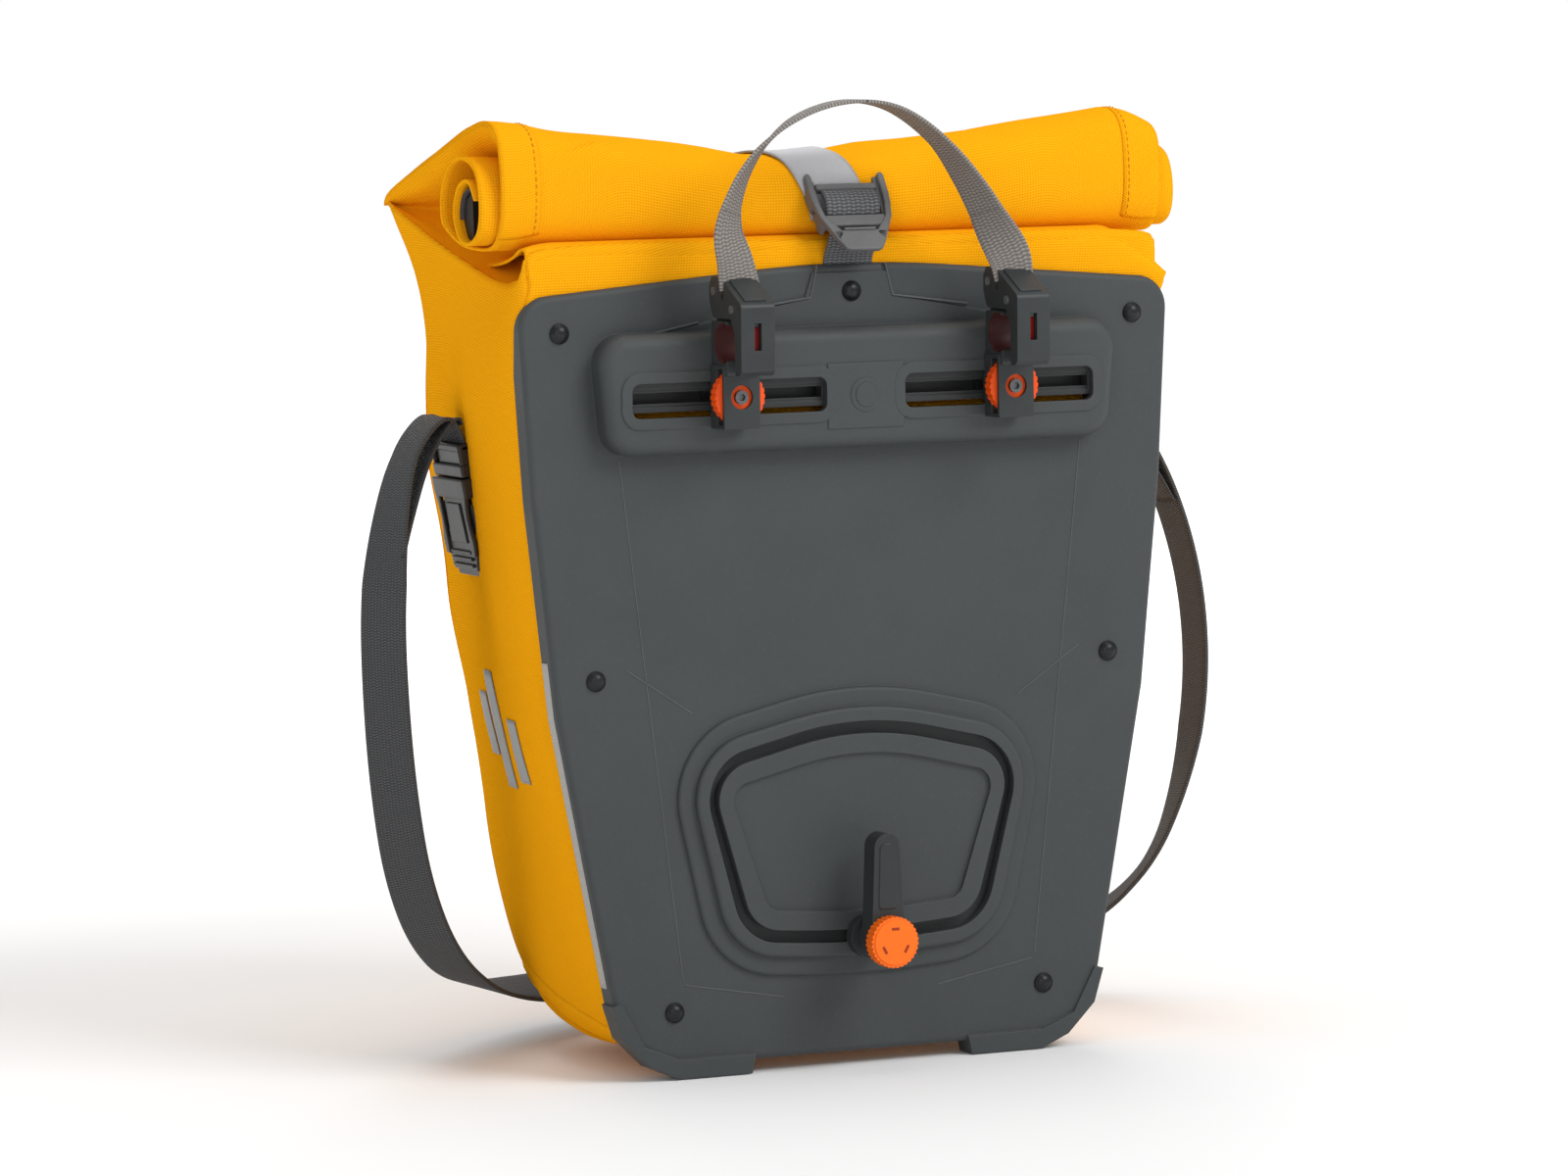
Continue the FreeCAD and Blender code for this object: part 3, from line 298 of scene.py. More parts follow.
def steel(name, colour, rough):
    """Turned or pressed metal with fine lines."""
    n = Nodes(name)
    lines = n.noise(n.node("Mapping", {"Vector": n.place(), "Scale": (60.0, 3000.0, 3000.0)}), 1.0, 3.0)
    body = n.blend(n.spread(lines, 0.3, 0.7), shade(colour, 0.7), colour)
    return n.set(Base_Color=body, Metallic=1.0, Roughness=n.spread(lines, 0.3, 0.7, rough, rough + 0.15),
                 Normal=n.bump(lines, 0.2, 0.0001))


def reflective(name, colour):
    """Glass-bead reflective cloth: pale, finely speckled, with a silky shine."""
    n = Nodes(name)
    u, v = n.cloth()
    place = n.place()
    turn = 2 * math.pi / 0.0009
    net = n.math("MULTIPLY", n.math("SINE", n.math("MULTIPLY", n.math("ADD", u, v), turn)),
                 n.math("SINE", n.math("MULTIPLY", n.math("SUBTRACT", u, v), turn)))
    net = n.math("MULTIPLY_ADD", net, 0.5, 0.5)
    beads = n.noise(place, 2400.0, 2.0)
    body = n.blend(n.spread(net, 0.2, 0.7), shade(colour, 0.72), colour)
    body = n.laid(body, beads, 0.4, 0.7, 0.3, shade(colour, 1.3, 1.0))
    body = n.laid(body, n.noise(place, 40.0, 3.0), 0.45, 0.7, 0.12, shade(colour, 0.6))
    return n.set(Base_Color=body, Metallic=0.25, Roughness=n.spread(beads, 0.3, 0.7, 0.42, 0.6),
                 Normal=n.bump(n.math("ADD", net, beads), 0.3, 0.00012))


def make_materials():
    grey = (0.048, 0.054, 0.055)
    return {
        "plate": moulded("plate_grained", grey, 0.55, grain=0.5, edge=0.0009, edge_highlight=1.7, spread=0.05),
        "hook": moulded("hook_moulded", (0.028, 0.032, 0.033), 0.42, 0.15, 0.0006, edge_highlight=2.2),
        "rail": moulded("rail_moulded", (0.030, 0.032, 0.033), 0.45, 0.2, 0.0005, edge_highlight=2.4),
        "rivet": moulded("rivet_satin", (0.008, 0.009, 0.010), 0.34, grain=0.1),
        "fabric": woven("coated_canvas", (0.90, 0.362, 0.005), 0.0014, 0.55, contrast=0.15,
                        depth=0.0003, tint=(0.95, 0.412, 0.007), shine=0.0),
        "tape": webbing("mouth_tape", (0.075, 0.068, 0.075), 0.0012, 0.0022, contrast=0.4),
        "dark": moulded("roll_core_black", (0.006, 0.006, 0.006), 0.5, 0.1, 0.0005),
        "band": reflective("reflective_band", (0.40, 0.40, 0.415)),
        "print": reflective("reflective_print", (0.30, 0.305, 0.30)),
        "strap": webbing("strap_webbing", (0.072, 0.074, 0.077), 0.0013, 0.0022, slant=0.35),
        "web": webbing("buckle_webbing", (0.13, 0.132, 0.138), 0.0015, 0.0024, 0.6, slant=0.2),
        "handle": webbing("handle_webbing", (0.235, 0.215, 0.198), 0.0016, 0.0024, 0.45, slant=0.25),
        "buckle": moulded("buckle_satin", (0.115, 0.115, 0.118), 0.42, 0.1, 0.0005),
        "side_buckle": moulded("side_buckle_satin", (0.020, 0.017, 0.015), 0.33, 0.08, 0.0006, 2.2),
        "side_button": moulded("side_button_satin", (0.014, 0.012, 0.011), 0.3, 0.08, 0.0004, 2.2),
        "orange": moulded("wheel_orange", (0.80, 0.075, 0.002), 0.4, edge_highlight=1.15, spread=0.05),
        "knob": moulded("knob_orange", (0.93, 0.155, 0.004), 0.4, edge=0.0004, edge_highlight=1.1, spread=0.04),
        "knob_mark": moulded("knob_mark_red", (0.30, 0.03, 0.004), 0.5, edge=0.0002),
        "red": moulded("insert_red", (0.24, 0.006, 0.005), 0.35),
        # The plate's raised lines are coloured lighter than the plate as a painted highlight.
        "ridge": moulded("plate_ridge_highlight", (0.085, 0.092, 0.094), 0.5, grain=0.2),
        # Dark red rubber, its colour darkened further as painted shade for the inside of the jaw's bore.
        "rubber": moulded("jaw_rubber", (0.045, 0.007, 0.007), 0.6, grain=0.3),
        "steel": steel("pin_steel", (0.75, 0.75, 0.77), 0.22),
        "screw": steel("screw_steel", (0.15, 0.155, 0.16), 0.36),
        "piping": woven("piping_cloth", (0.46, 0.45, 0.43), 0.0008, contrast=0.2),
        "thread": woven("seam_thread", (0.70, 0.29, 0.006), 0.0005, contrast=0.3),
        "dark_thread": woven("dark_thread", (0.05, 0.05, 0.055), 0.0005, contrast=0.3),
    }


LOOKS = make_materials()


# ---- curves, sheets and ribbons

def through(points, count, closed=False):
    """Evenly spaced points on a smooth curve through the given ones."""
    knots = np.array([list(p) for p in points], float)
    if closed:
        knots = np.vstack([knots[-1:], knots, knots[:2]])
    else:
        knots = np.vstack([2 * knots[:1] - knots[1:2], knots, 2 * knots[-1:] - knots[-2:-1]])
    fine = []
    steps = 24
    for a, b, c, d in zip(knots, knots[1:], knots[2:], knots[3:]):
        t1 = max(np.linalg.norm(b - a), 1e-9) ** 0.5
        t2 = t1 + max(np.linalg.norm(c - b), 1e-9) ** 0.5
        t3 = t2 + max(np.linalg.norm(d - c), 1e-9) ** 0.5
        for k in range(steps):
            t = t1 + (t2 - t1) * k / steps
            ab = a * (t1 - t) / t1 + b * t / t1
            bc = b * (t2 - t) / (t2 - t1) + c * (t - t1) / (t2 - t1)
            cd = c * (t3 - t) / (t3 - t2) + d * (t - t2) / (t3 - t2)
            abc = ab * (t2 - t) / t2 + bc * t / t2
            bcd = bc * (t3 - t) / (t3 - t1) + cd * (t - t1) / (t3 - t1)
            fine.append(abc * (t2 - t) / (t2 - t1) + bcd * (t - t1) / (t2 - t1))
    fine.append(knots[-2])
    return evenly(np.array(fine), count + 1 if closed else count)[:count]


def run_along(line):
    """The way from a line's start to each of its points."""
    return np.concatenate([[0.0], np.cumsum(np.linalg.norm(np.diff(line, axis=0), axis=1))])


def evenly(line, count):
    run = run_along(line)
    wanted = np.linspace(0, run[-1], count)
    return np.stack([np.interp(wanted, run, line[:, k]) for k in range(line.shape[1])], axis=1)


def ramp(value, start, end):
    """0 at the start and before it, 1 at the end and past it, even between them."""
    return np.clip((value - start) / (end - start), 0, 1)


def mirrored(side, outline):
    """An outline as drawn for the right side, or turned over for the left."""
    return [(side * x, y) for x, y in outline]


def both_halves(half):
    """A closed outline from its right half."""
    return half + mirrored(-1, half[::-1])


def bar(half, low, high):
    """A rectangle that is as wide to the left as to the right."""
    return both_halves([(half, low), (half, high)])


def grid_faces(rows, size, closed=False):
    """The faces between neighbouring rows of points."""
    return [(i * size + j, i * size + (j + 1) % size, (i + 1) * size + (j + 1) % size, (i + 1) * size + j)
            for i in range(rows - 1) for j in range(size if closed else size - 1)]


def skin(guides, across_count, along_count, closed=False):
    """A grid of points on a smooth surface through guide curves that all run the same way."""
    rows = [through(guide, across_count, closed) for guide in guides]
    columns = [through([row[k] for row in rows], along_count) for k in range(across_count)]
    return np.stack(columns, axis=1)


def run_lengths(points, axis):
    steps = np.linalg.norm(np.diff(points, axis=axis), axis=2)
    zero = np.zeros_like(np.take(steps, [0], axis=axis))
    return np.concatenate([zero, np.cumsum(steps, axis=axis)], axis=axis)


def finish_piece(mesh, name, kind, body):
    mesh.validate()
    piece = linked(name, mesh)
    mesh.materials.append(LOOKS[kind])
    for face in mesh.polygons:
        face.use_smooth = True
    if body:
        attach(piece, body)
    return piece


def sheet_piece(name, points, kind, thick=1.4, closed=False, offset=-1.0):
    """A sheet of cloth from a grid of points in plate millimetres."""
    along, wide = points.shape[:2]
    mesh = mesh_of(name, [at(*p) for p in points.reshape(-1, 3)], grid_faces(along, wide, closed))
    u = run_lengths(points, 1) * MM
    v = run_lengths(points, 0) * MM
    u = u - u[:, [wide // 2]]
    store_cloth(mesh, u.ravel(), v.ravel())
    piece = finish_piece(mesh, name, kind, "root")
    thickness = piece.modifiers.new("thickness", "SOLIDIFY")
    thickness.thickness = thick * MM
    thickness.offset = offset
    thickness.use_even_offset = False
    return piece


def store_cloth(mesh, u, v):
    attribute = mesh.attributes.new("cloth", "FLOAT_VECTOR", "POINT")
    values = np.stack([u, v, np.zeros(len(u))], axis=1).astype(np.float32)
    attribute.data.foreach_set("vector", values.ravel())


def directions_at(facing, share):
    """Directions along a line, between (share of its length, direction) pairs."""
    keys = [key for key, _ in facing]
    directions = np.array([direction for _, direction in facing], float)
    return np.stack([np.interp(share, keys, directions[:, k]) for k in range(3)], axis=1)


def ribbon(name, line, facing, width, thick, kind, body="root"):
    """A flat strap along a line. facing gives (share of the length, width direction) pairs."""
    line = np.array([list(p) for p in line], float)
    count = len(line)
    run = run_along(line)
    wide = directions_at(facing, run / run[-1])
    tangent = np.gradient(line, axis=0)
    tangent /= np.linalg.norm(tangent, axis=1)[:, None]
    wide -= (wide * tangent).sum(axis=1)[:, None] * tangent
    wide /= np.linalg.norm(wide, axis=1)[:, None]
    normal = np.cross(tangent, wide)
    half, depth = width / 2, thick / 2
    upper = [(0.2 - half, depth * 0.75), (0.8 - half, depth)]
    upper += [(half * k, depth) for k in (-0.6, -0.3, 0.0, 0.3, 0.6)]
    upper += [(half - 0.8, depth), (half - 0.2, depth * 0.75)]
    section = [(-half, 0.0), *upper, (half, 0.0), *[(x, -y) for x, y in reversed(upper)]]
    size = len(section)
    verts = [at(*(line[k] + wide[k] * x + normal[k] * y)) for k in range(count) for x, y in section]
    faces = grid_faces(count, size, closed=True)
    faces.append(tuple(range(size)))
    faces.append(tuple(range(count * size - 1, (count - 1) * size - 1, -1)))
    mesh = mesh_of(name, verts, faces)
    store_cloth(mesh, np.tile([x * MM for x, _ in section], count), np.repeat(run * MM, size))
    return finish_piece(mesh, name, kind, body)


# ---- shoulder strap

# The strap's middle line, the same points as the CAD solid's route.
STRAP_ROUTE = [(-153, 98, 291), (-155, 98, 302), (-171, 97, 307), (-187, 95, 289), (-196, 92, 256),
               (-201, 90, 216), (-200, 90, 170), (-196, 92, 128), (-188, 97, 88), (-172, 107, 54),
               (-146, 126, 32), (-108, 160, 22), (-62, 190, 20), (-5, 206, 24), (52, 210, 23),
               (108, 200, 21), (158, 173, 24), (194, 140, 38), (213, 112, 68), (223, 98, 110),
               (229, 92, 157), (227, 92, 205), (216, 94, 249), (198, 96, 285), (176, 97, 307),
               (158, 98, 304), (153, 98, 291)]
STRAP_WIDTH = 30.0
STRAP_THICK = 2.0
DEPTHWAYS = [(0.0, (0, 1, 0)), (1.0, (0, 1, 0))]
STRAP_FACING = [(0.0, (0, 1, 0)), (0.04, (0, 1, 0)), (0.10, (-0.35, 0.93, 0)), (0.22, (-0.42, 0.9, 0)),
                (0.30, (-0.5, 0.85, 0.05)), (0.37, (-0.5, 0.75, 0.3)), (0.48, (0, 0.95, 0.3)),
                (0.58, (0.15, 0.95, 0.3)), (0.66, (0.6, 0.75, 0.25)), (0.72, (0.5, 0.85, 0.1)),
                (0.80, (0.12, 0.99, 0)), (0.96, (0, 1, 0)), (1.0, (0, 1, 0))]


def nurbs_line(route):
    """The points of a smooth NURBS line whose control points are the route, in plate millimetres."""
    data = bpy.data.curves.new("route", "CURVE")
    data.dimensions = "3D"
    data.resolution_u = 12
    spline = data.splines.new("NURBS")
    spline.points.add(len(route) - 1)
    for point, place in zip(spline.points, route):
        point.co = (*place, 1)
    spline.order_u = 3
    spline.use_endpoint_u = True
    carrier = linked("route", data)
    mesh = bpy.data.meshes.new_from_object(carrier)
    line = np.array([list(v.co) for v in mesh.vertices])
    bpy.data.objects.remove(carrier)
    bpy.data.meshes.remove(mesh)
    return line


def make_shoulder_strap():
    # The ends start at the plugs' bars, a little outside the CAD solid's ends.
    route = [(-160.5, 98, 292), (-162.5, 98, 301), *STRAP_ROUTE[2:-2], (163.5, 98, 301), (160.5, 98, 292)]
    line = nurbs_line(route)
    strap = ribbon("shoulder_strap_band", line, STRAP_FACING, STRAP_WIDTH, STRAP_THICK, "strap")
    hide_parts("shoulder_strap")
    tails = [strap_tail(side, part) for side, part in (("left", line), ("right", line[::-1]))]


def strap_tail(side, route):
    """The short sewn end of the strap, folded back under it below the buckle's bar."""
    run = run_along(route)
    part = route[(run > 14) & (run < 92)]
    inward = np.array([1.0 if side == "left" else -1.0, 0, -0.15])
    slack = np.sin(np.linspace(0.2, math.pi * 0.95, len(part)))[:, None] * 5.0
    line = part + inward * (2.2 + slack)
    return ribbon(f"strap_tail_{side}", line, DEPTHWAYS, STRAP_WIDTH - 1.0, 1.6, "strap")


# ---- bag body

# Right half of the rings round the bag, from the front middle to the back middle. The level ones hold
# (x, y) by height, those under and over them (x, y, z).
LEVEL_RINGS = {
    54: [(0, 6), (112, 6), (126, 11), (130, 26), (129, 70), (122, 124), (111, 158), (96, 170), (58, 176),
          (0, 178)],
    110: [(0, 6), (122, 6), (136.5, 11), (141, 26), (140, 70), (131, 126), (118, 167), (102, 179),
           (60, 185), (0, 187)],
    180: [(0, 6), (133, 6), (147.5, 11), (152, 26), (150, 70), (140, 128), (126, 176), (109, 188),
           (62, 193), (0, 194)],
    250: [(0, 6), (142, 6), (156, 11), (160.5, 26), (157.5, 70), (147, 128), (133, 181), (116, 193),
           (66, 197), (0, 198)],
    312: [(0, 6), (148, 6), (162, 11), (166.5, 26), (162.5, 70), (151, 128), (139, 183), (123, 194),
           (70, 198), (0, 199)],
}
LOW_RINGS = [
    [(0, 46, 5), (30, 46, 5), (52, 48, 5), (62, 56, 6), (66, 74, 6), (62, 104, 7), (54, 120, 8),
     (44, 126, 8), (26, 129, 8), (0, 130, 8)],
    [(0, 10, 12), (84, 10, 12), (106, 14, 16), (112, 28, 15), (112, 70, 14), (106, 114, 16),
     (97, 141, 20), (84, 152, 22), (52, 157, 21), (0, 159, 21)],
    [(0, 7, 25), (100, 7, 25), (118, 11, 27), (121, 26, 26), (120, 70, 25), (113, 118, 27),
     (103, 150, 31), (89, 162, 33), (55, 168, 33), (0, 170, 33)],
]
MOUTH_RINGS = [
    [(0, 6, 344), (149, 6, 344), (163, 8, 344), (167, 22, 344), (163, 68, 343), (152, 122, 342),
     (144, 169, 344), (129, 188, 346), (74, 194, 346), (0, 195, 346)],
    [(0, 5, 366), (148, 5, 366), (162.5, 5.5, 364), (165.5, 16, 361), (164, 66, 362), (158, 122, 365),
     (153, 159, 368), (139, 180, 370), (78, 188, 372), (0, 189, 372)],
    [(0, 4, 386), (146, 4, 386), (160.5, 4, 383), (163.5, 9, 371.5), (165.5, 66, 378), (166, 124, 393),
     (165, 163, 404.5), (154, 170, 404), (80, 178, 402), (0, 180, 400)],
]
BODY_RINGS = LOW_RINGS + [[(x, y, z) for x, y in ring] for z, ring in LEVEL_RINGS.items()] + MOUTH_RINGS


def whole_ring(half):
    return half + [(-x, y, z) for x, y, z in reversed(half[1:-1])]


def soft_dents(points, size, depth, seed):
    """Shallow, seeded unevenness along each point's direction away from the bag's middle."""
    moved = points.copy()
    for index in np.ndindex(points.shape[:2]):
        p = Vector(points[index])
        away = Vector((p.x, p.y - 90.0, 0)).normalized()
        amount = noise.noise(p / size + Vector((seed, 0, 0))) * depth
        moved[index] = p + away * amount
    return moved


def make_bag():
    points = skin([whole_ring(ring) for ring in BODY_RINGS], 220, 120, closed=True)
    fade = ramp(points[:, :, 1:2], 20.0, 60.0) * ramp(points[:, :, 2:3], 395.0, 370.0)
    dented = soft_dents(points, 55.0, 3.2, 3.0)
    points = points + (dented - points) * fade
    bag = sheet_piece("bag_body", points, "fabric", closed=True)
    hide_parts("bag_shell")
    base_panel(points[0])
    return points


def base_panel(rim):
    """The middle of the base, closing the lowest ring."""
    centre = rim.mean(axis=0)
    grid = np.stack([rim + (centre - rim) * k for k in np.linspace(0, 0.995, 8)])
    grid[:, :, 2] -= 1.5 * np.linspace(0, 1, 8)[:, None]
    sheet_piece("bag_base", grid, "fabric", closed=True)


# ---- rolled mouth

# How far each end of the roll reaches sideways, by depth: least at the back corner of the bag.
ROLL_REACH = [(9, 171.0), (44, 171.0), (76, 170.3), (121, 168.0), (165, 165.2), (180, 165.2)]
CORE_REACH = 9.0
ROLL_FOOT = 386.0
ROLL_FULL = 442.0
# Height of the roll's top along its length; the closure strap pulls the middle down.
ROLL_TOPS = [(-170, 442), (-150, 441), (-117, 436.5), (-87, 431.5), (-61, 428), (-42, 424.5), (-20, 424),
             (0, 425), (20, 428.5), (50, 431), (82, 433), (120, 438), (148, 442), (170, 439)]
# The cloth's line in the side view, as (depth, height): the back panel's edge, over the top and down
# the front, then the inner turns.
ROLL_OUTER_END = [(165.8, 402.4), (165.0, 405.0), (121, 419), (76, 431), (44, 439.5), (24, 442), (13, 435),
                  (9, 415), (11, 398), (18, 388.5), (34, 386)]
ROLL_OUTER_MIDDLE = [(185.5, 387), (179.5, 401.5), (140, 416), (86, 433), (48, 441), (24, 441), (12, 433),
                     (8, 414), (10, 398), (18, 388.5), (34, 386)]
ROLL_CORE = [(49, 389), (58.5, 399), (58, 412), (48, 423), (32, 426.5), (18, 421), (13, 407), (16, 394),
             (27, 388.8), (38, 392), (43, 402), (38, 413), (26, 416), (19, 408)]


def roll_section(x):
    """The cloth's line at one place along the roll."""
    top = float(np.interp(x, *zip(*ROLL_TOPS)))
    middle = 1 - ramp(abs(x), 105.0, 167.0)
    middle = middle * middle * (3 - 2 * middle)
    outer = np.array(ROLL_OUTER_END) * (1 - middle) + np.array(ROLL_OUTER_MIDDLE) * middle
    line = np.vstack([outer, np.array(ROLL_CORE)])
    squeeze = (top - ROLL_FOOT) / (ROLL_FULL - ROLL_FOOT)
    above = line[:, 1] > ROLL_FOOT
    scale = 1 - (1 - squeeze) * ramp(line[:, 0], 150.0, 80.0)
    line[:, 1] = np.where(above, ROLL_FOOT + (line[:, 1] - ROLL_FOOT) * scale, line[:, 1])
    return line


def make_roll():
    stations = np.linspace(-1, 1, 121)
    lines = np.stack([through(roll_section(station * 170.0), 230) for station in stations], axis=1)
    share = (np.arange(len(lines)) / len(lines))[:, None]
    reach = np.interp(lines[:, :, 0], *zip(*ROLL_REACH)) + CORE_REACH * ramp(share, 0.55, 0.61)
    x = np.where(stations > 0, stations * (reach - 4.0), stations * reach)
    points = np.dstack([x, lines])
    ripple = [[noise.noise(Vector((x / 70, y / 45, z / 38))) for x, y, z in row] for row in points]
    outside = share < 0.42
    fade = ramp(np.abs(points[:, :, 0]), 166, 142) * outside
    points[:, :, 2] += 2.0 * np.array(ripple) * fade
    points[:, :, 1] += buckle_folds(points) * fade
    rounded = ramp(points[:, :, 0], 150, 170) ** 2 * outside
    points[:, :, 2] -= 6.0 * rounded * ramp(points[:, :, 2], 425, 442)
    roll = sheet_piece("roll_cloth", points, "fabric", thick=1.5)
    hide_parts("roll_top")
    return points


def buckle_folds(points):
    """Soft slanting hollows that run into the buckle, where the strap pulls the roll down."""
    across = np.abs(points[:, :, 0])
    height = points[:, :, 2]
    slant = (across - 24) - (432 - height) * 0.9
    near = np.exp(-((across - 32) / 26.0) ** 2)
    front = ramp(points[:, :, 1], 60, 30)
    return near * front * (3.2 * np.exp(-(slant / 9.0) ** 2) - 1.6 * np.exp(-((slant - 20) / 10.0) ** 2))


def make_core_tape():
    """The mouth's grey tape and black stiffener, seen in the middle of the roll's ends."""
    tape = ((24.5, 412.5), (31, 413.5), (38.5, 410), (41.5, 404), (41.8, 399))
    core = ((29.0, 389.5), (30.0, 411.0), (38.0, 408.0), (40.0, 398.0), (36.0, 390.0))
    strip = ((20.5, 395.0), (20.0, 407.0), (26.0, 414.2), (36.5, 411.8), (41.2, 402.0), (37.5, 393.5),
             (28.0, 390.6))
    for name, side in SIDES:
        grid = skin([[(side * x, y, z) for x in (150.0, 160.0, 170.0, 177.5)] for y, z in tape], 16, 30)
        if side < 0:
            grid = grid[:, ::-1]
        sheet_piece(f"mouth_tape_{name}", grid, "tape", thick=1.0)
        ends = [[(side * x, y, z) for y, z in core] for x in (176.0, 150.0)]
        solid(f"mouth_core_{name}", *ends, "dark")
    ends = [[(x, y, z) for y, z in strip] for x in (-158.0, 158.0)]
    stiffener = solid("mouth_stiffener", *ends, "dark")
    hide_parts("roll_stiffener")


def solid(name, first, second, kind, body="root", bevel=0.0, slot=None):
    """A closed solid between two matching outlines in plate millimetres."""
    count = len(first)
    verts = [at(*p) for p in list(first) + list(second)]
    faces = [tuple(range(count))[::-1], tuple(range(count, 2 * count))]
    faces += [(k, (k + 1) % count, (k + 1) % count + count, k + count) for k in range(count)]
    mesh = mesh_of(name, verts, faces)
    shell = bmesh.new()
    shell.from_mesh(mesh)
    bmesh.ops.recalc_face_normals(shell, faces=shell.faces)
    shell.to_mesh(mesh)
    shell.free()
    piece = finish_piece(mesh, name, kind, body)
    if bevel:
        round_off(piece, bevel)
    else:
        for face in mesh.polygons:
            face.use_smooth = False
    return piece


def round_off(piece, width):
    bevel = piece.modifiers.new("edges", "BEVEL")
    bevel.width = width * MM
    bevel.segments = 3
    bevel.limit_method = "ANGLE"
    bevel.angle_limit = math.radians(25)
    bevel.harden_normals = True


def nearest(line, depths):
    """The points of a line that lie nearest to the given depths."""
    return [line[int(np.argmin(np.abs(line[:, 1] - depth)))] for depth in depths]


def make_gussets(body, roll):
    """The folded-in pleat between the roll and the bag's shoulder at each end."""
    upper = [(163.8, 163, 402.9), (156, 126, 407), (149, 84, 412), (147, 46, 417), (152, 11.5, 421)]
    valley = [(163.4, 162.5, 402.6), (146, 128, 400.5), (130, 88, 396.5), (122, 50, 392.5), (120, 20, 390)]
    lower = [(163.6, 162.6, 402.6), (155, 127, 395.6), (148, 82, 386.5), (144, 46, 380), (142, 20, 376.5)]
    for name, side in SIDES:
        edge = roll[: len(roll) // 2, 0 if side < 0 else -1]
        edge = edge[edge[:, 2] > 401.5]
        spots = nearest(edge, (165, 150, 135, 120, 100, 80, 60, 44, 30, 20, 14))
        top = [(abs(x) + 0.3, y, z + 0.2) for x, y, z in spots]
        hang = (0.1, 0.5, 0.8, 1, 1, 1, 1, 1, 1, 1, 1)
        near_top = [(abs(x) - 3.0 * k, y - (2.5 if y < 34 else 0.0), z - 7.0 * k)
                    for k, (x, y, z) in zip(hang, spots)]
        rim = body[-1][body[-1][:, 0] * side > 100]
        low_spots = nearest(rim, (163.5, 150, 135, 120, 100, 80, 60, 44, 30, 20, 10))
        ridge = [(abs(x) - 0.5, y, z - 0.2) for x, y, z in low_spots]
        near_ridge = [(abs(x) - 0.5 - 4.5 * k, y, z + 0.6 * k) for k, (x, y, z) in zip(hang, low_spots)]
        guides = [[(side * x, y, z) for x, y, z in guide]
                  for guide in (top, near_top, upper, valley, lower, near_ridge, ridge)]
        grid = skin(guides, 70, 60)
        if side < 0:
            grid = grid[:, ::-1]
        sheet_piece(f"gusset_fold_{name}", grid, "fabric", thick=1.2)


def make_shelf():
    """The front panel, from behind the plate's top up to its fold under the roll."""
    section = [(4.4, 334, 162.0), (4.3, 352, 162.0), (4.0, 361, 161.0), (3.7, 369, 159.6),
               (3.6, 375, 160.6), (4.2, 382, 161.0), (6.0, 386.4, 161.2), (10, 388.4, 161.6),
               (17, 387.2, 162.5), (34, 384, 161.0), (62, 382, 158.0), (96, 384, 154.0)]
    rows = []
    for y, z, half in section:
        row = []
        for share in np.linspace(-1, 1, 61):
            droop = 5.0 * ramp(abs(share), 0.9, 1.0) ** 2 * ramp(y, 5, 15)
            slope = 20.0 * ramp(share, 0.84, 1.0) ** 1.5 * ramp(z, 362, 386)
            spread = 7.0 * ramp(share, 0.88, 1.0) * ramp(z, 350, 364) * ramp(y, 26, 10)
            row.append((share * half + spread, y, z - droop - slope))
        rows.append(row)
    grid = skin(rows, 161, 80)
    wave = np.array([[noise.noise(Vector((p[0] / 60, p[2] / 30, 7.0))) for p in row] for row in grid])
    grid[:, :, 1] -= 0.8 * wave * ramp(grid[:, :, 2], 372, 382)
    sheet_piece("front_fold", grid, "fabric", thick=1.3)


# ---- seams, hems and the print

def outward(points):
    """Unit normals of a grid of points, away from the bag's middle."""
    along = np.gradient(points, axis=0)
    side = np.gradient(points, axis=1)
    normal = np.cross(along, side)
    normal /= np.maximum(np.linalg.norm(normal, axis=2, keepdims=True), 1e-9)
    away = points - np.array([0.0, 90.0, 210.0])
    return normal * np.where((normal * away).sum(axis=2, keepdims=True) < 0, -1.0, 1.0)


STITCH_PITCH = 3.2
STITCH_LENGTH = 2.2
STITCH_RADIUS = 0.28


def stitch_row(name, path, normals, kind="thread"):
    """A row of separate stitches along a path, each a short five-sided thread sunk at both ends."""
    run = run_along(path)
    turns = [2 * math.pi * k / 5 for k in range(5)]
    sides = grid_faces(4, len(turns), closed=True)
    verts, faces, starts = [], [], []
    for start in np.arange(STITCH_PITCH, run[-1] - STITCH_LENGTH, STITCH_PITCH):
        stitch = []
        for share, lift in ((0.0, -0.25), (0.25, 0.22), (0.75, 0.22), (1.0, -0.25)):
            way = start + share * STITCH_LENGTH
            place = np.array([np.interp(way, run, path[:, k]) for k in range(3)])
            up = np.array([np.interp(way, run, normals[:, k]) for k in range(3)])
            stitch.append((place + up * lift, up))
        ahead = stitch[-1][0] - stitch[0][0]
        ahead /= max(np.linalg.norm(ahead), 1e-9)
        base = len(verts)
        for place, up in stitch:
            across = np.cross(up, ahead)
            ring = [place + STITCH_RADIUS * (across * math.cos(a) + up * math.sin(a)) for a in turns]
            verts += [at(*p) for p in ring]
            starts += [start * MM] * len(turns)
        faces += [tuple(base + k for k in face) for face in sides]
    mesh = mesh_of(name, verts, faces)
    store_cloth(mesh, np.zeros(len(starts)), np.array(starts))
    finish_piece(mesh, name, kind, "root")


def lifted(points, rows, columns, lift):
    """Part of a grid, moved outward."""
    part = points + outward(points) * lift
    return part[rows][:, columns]


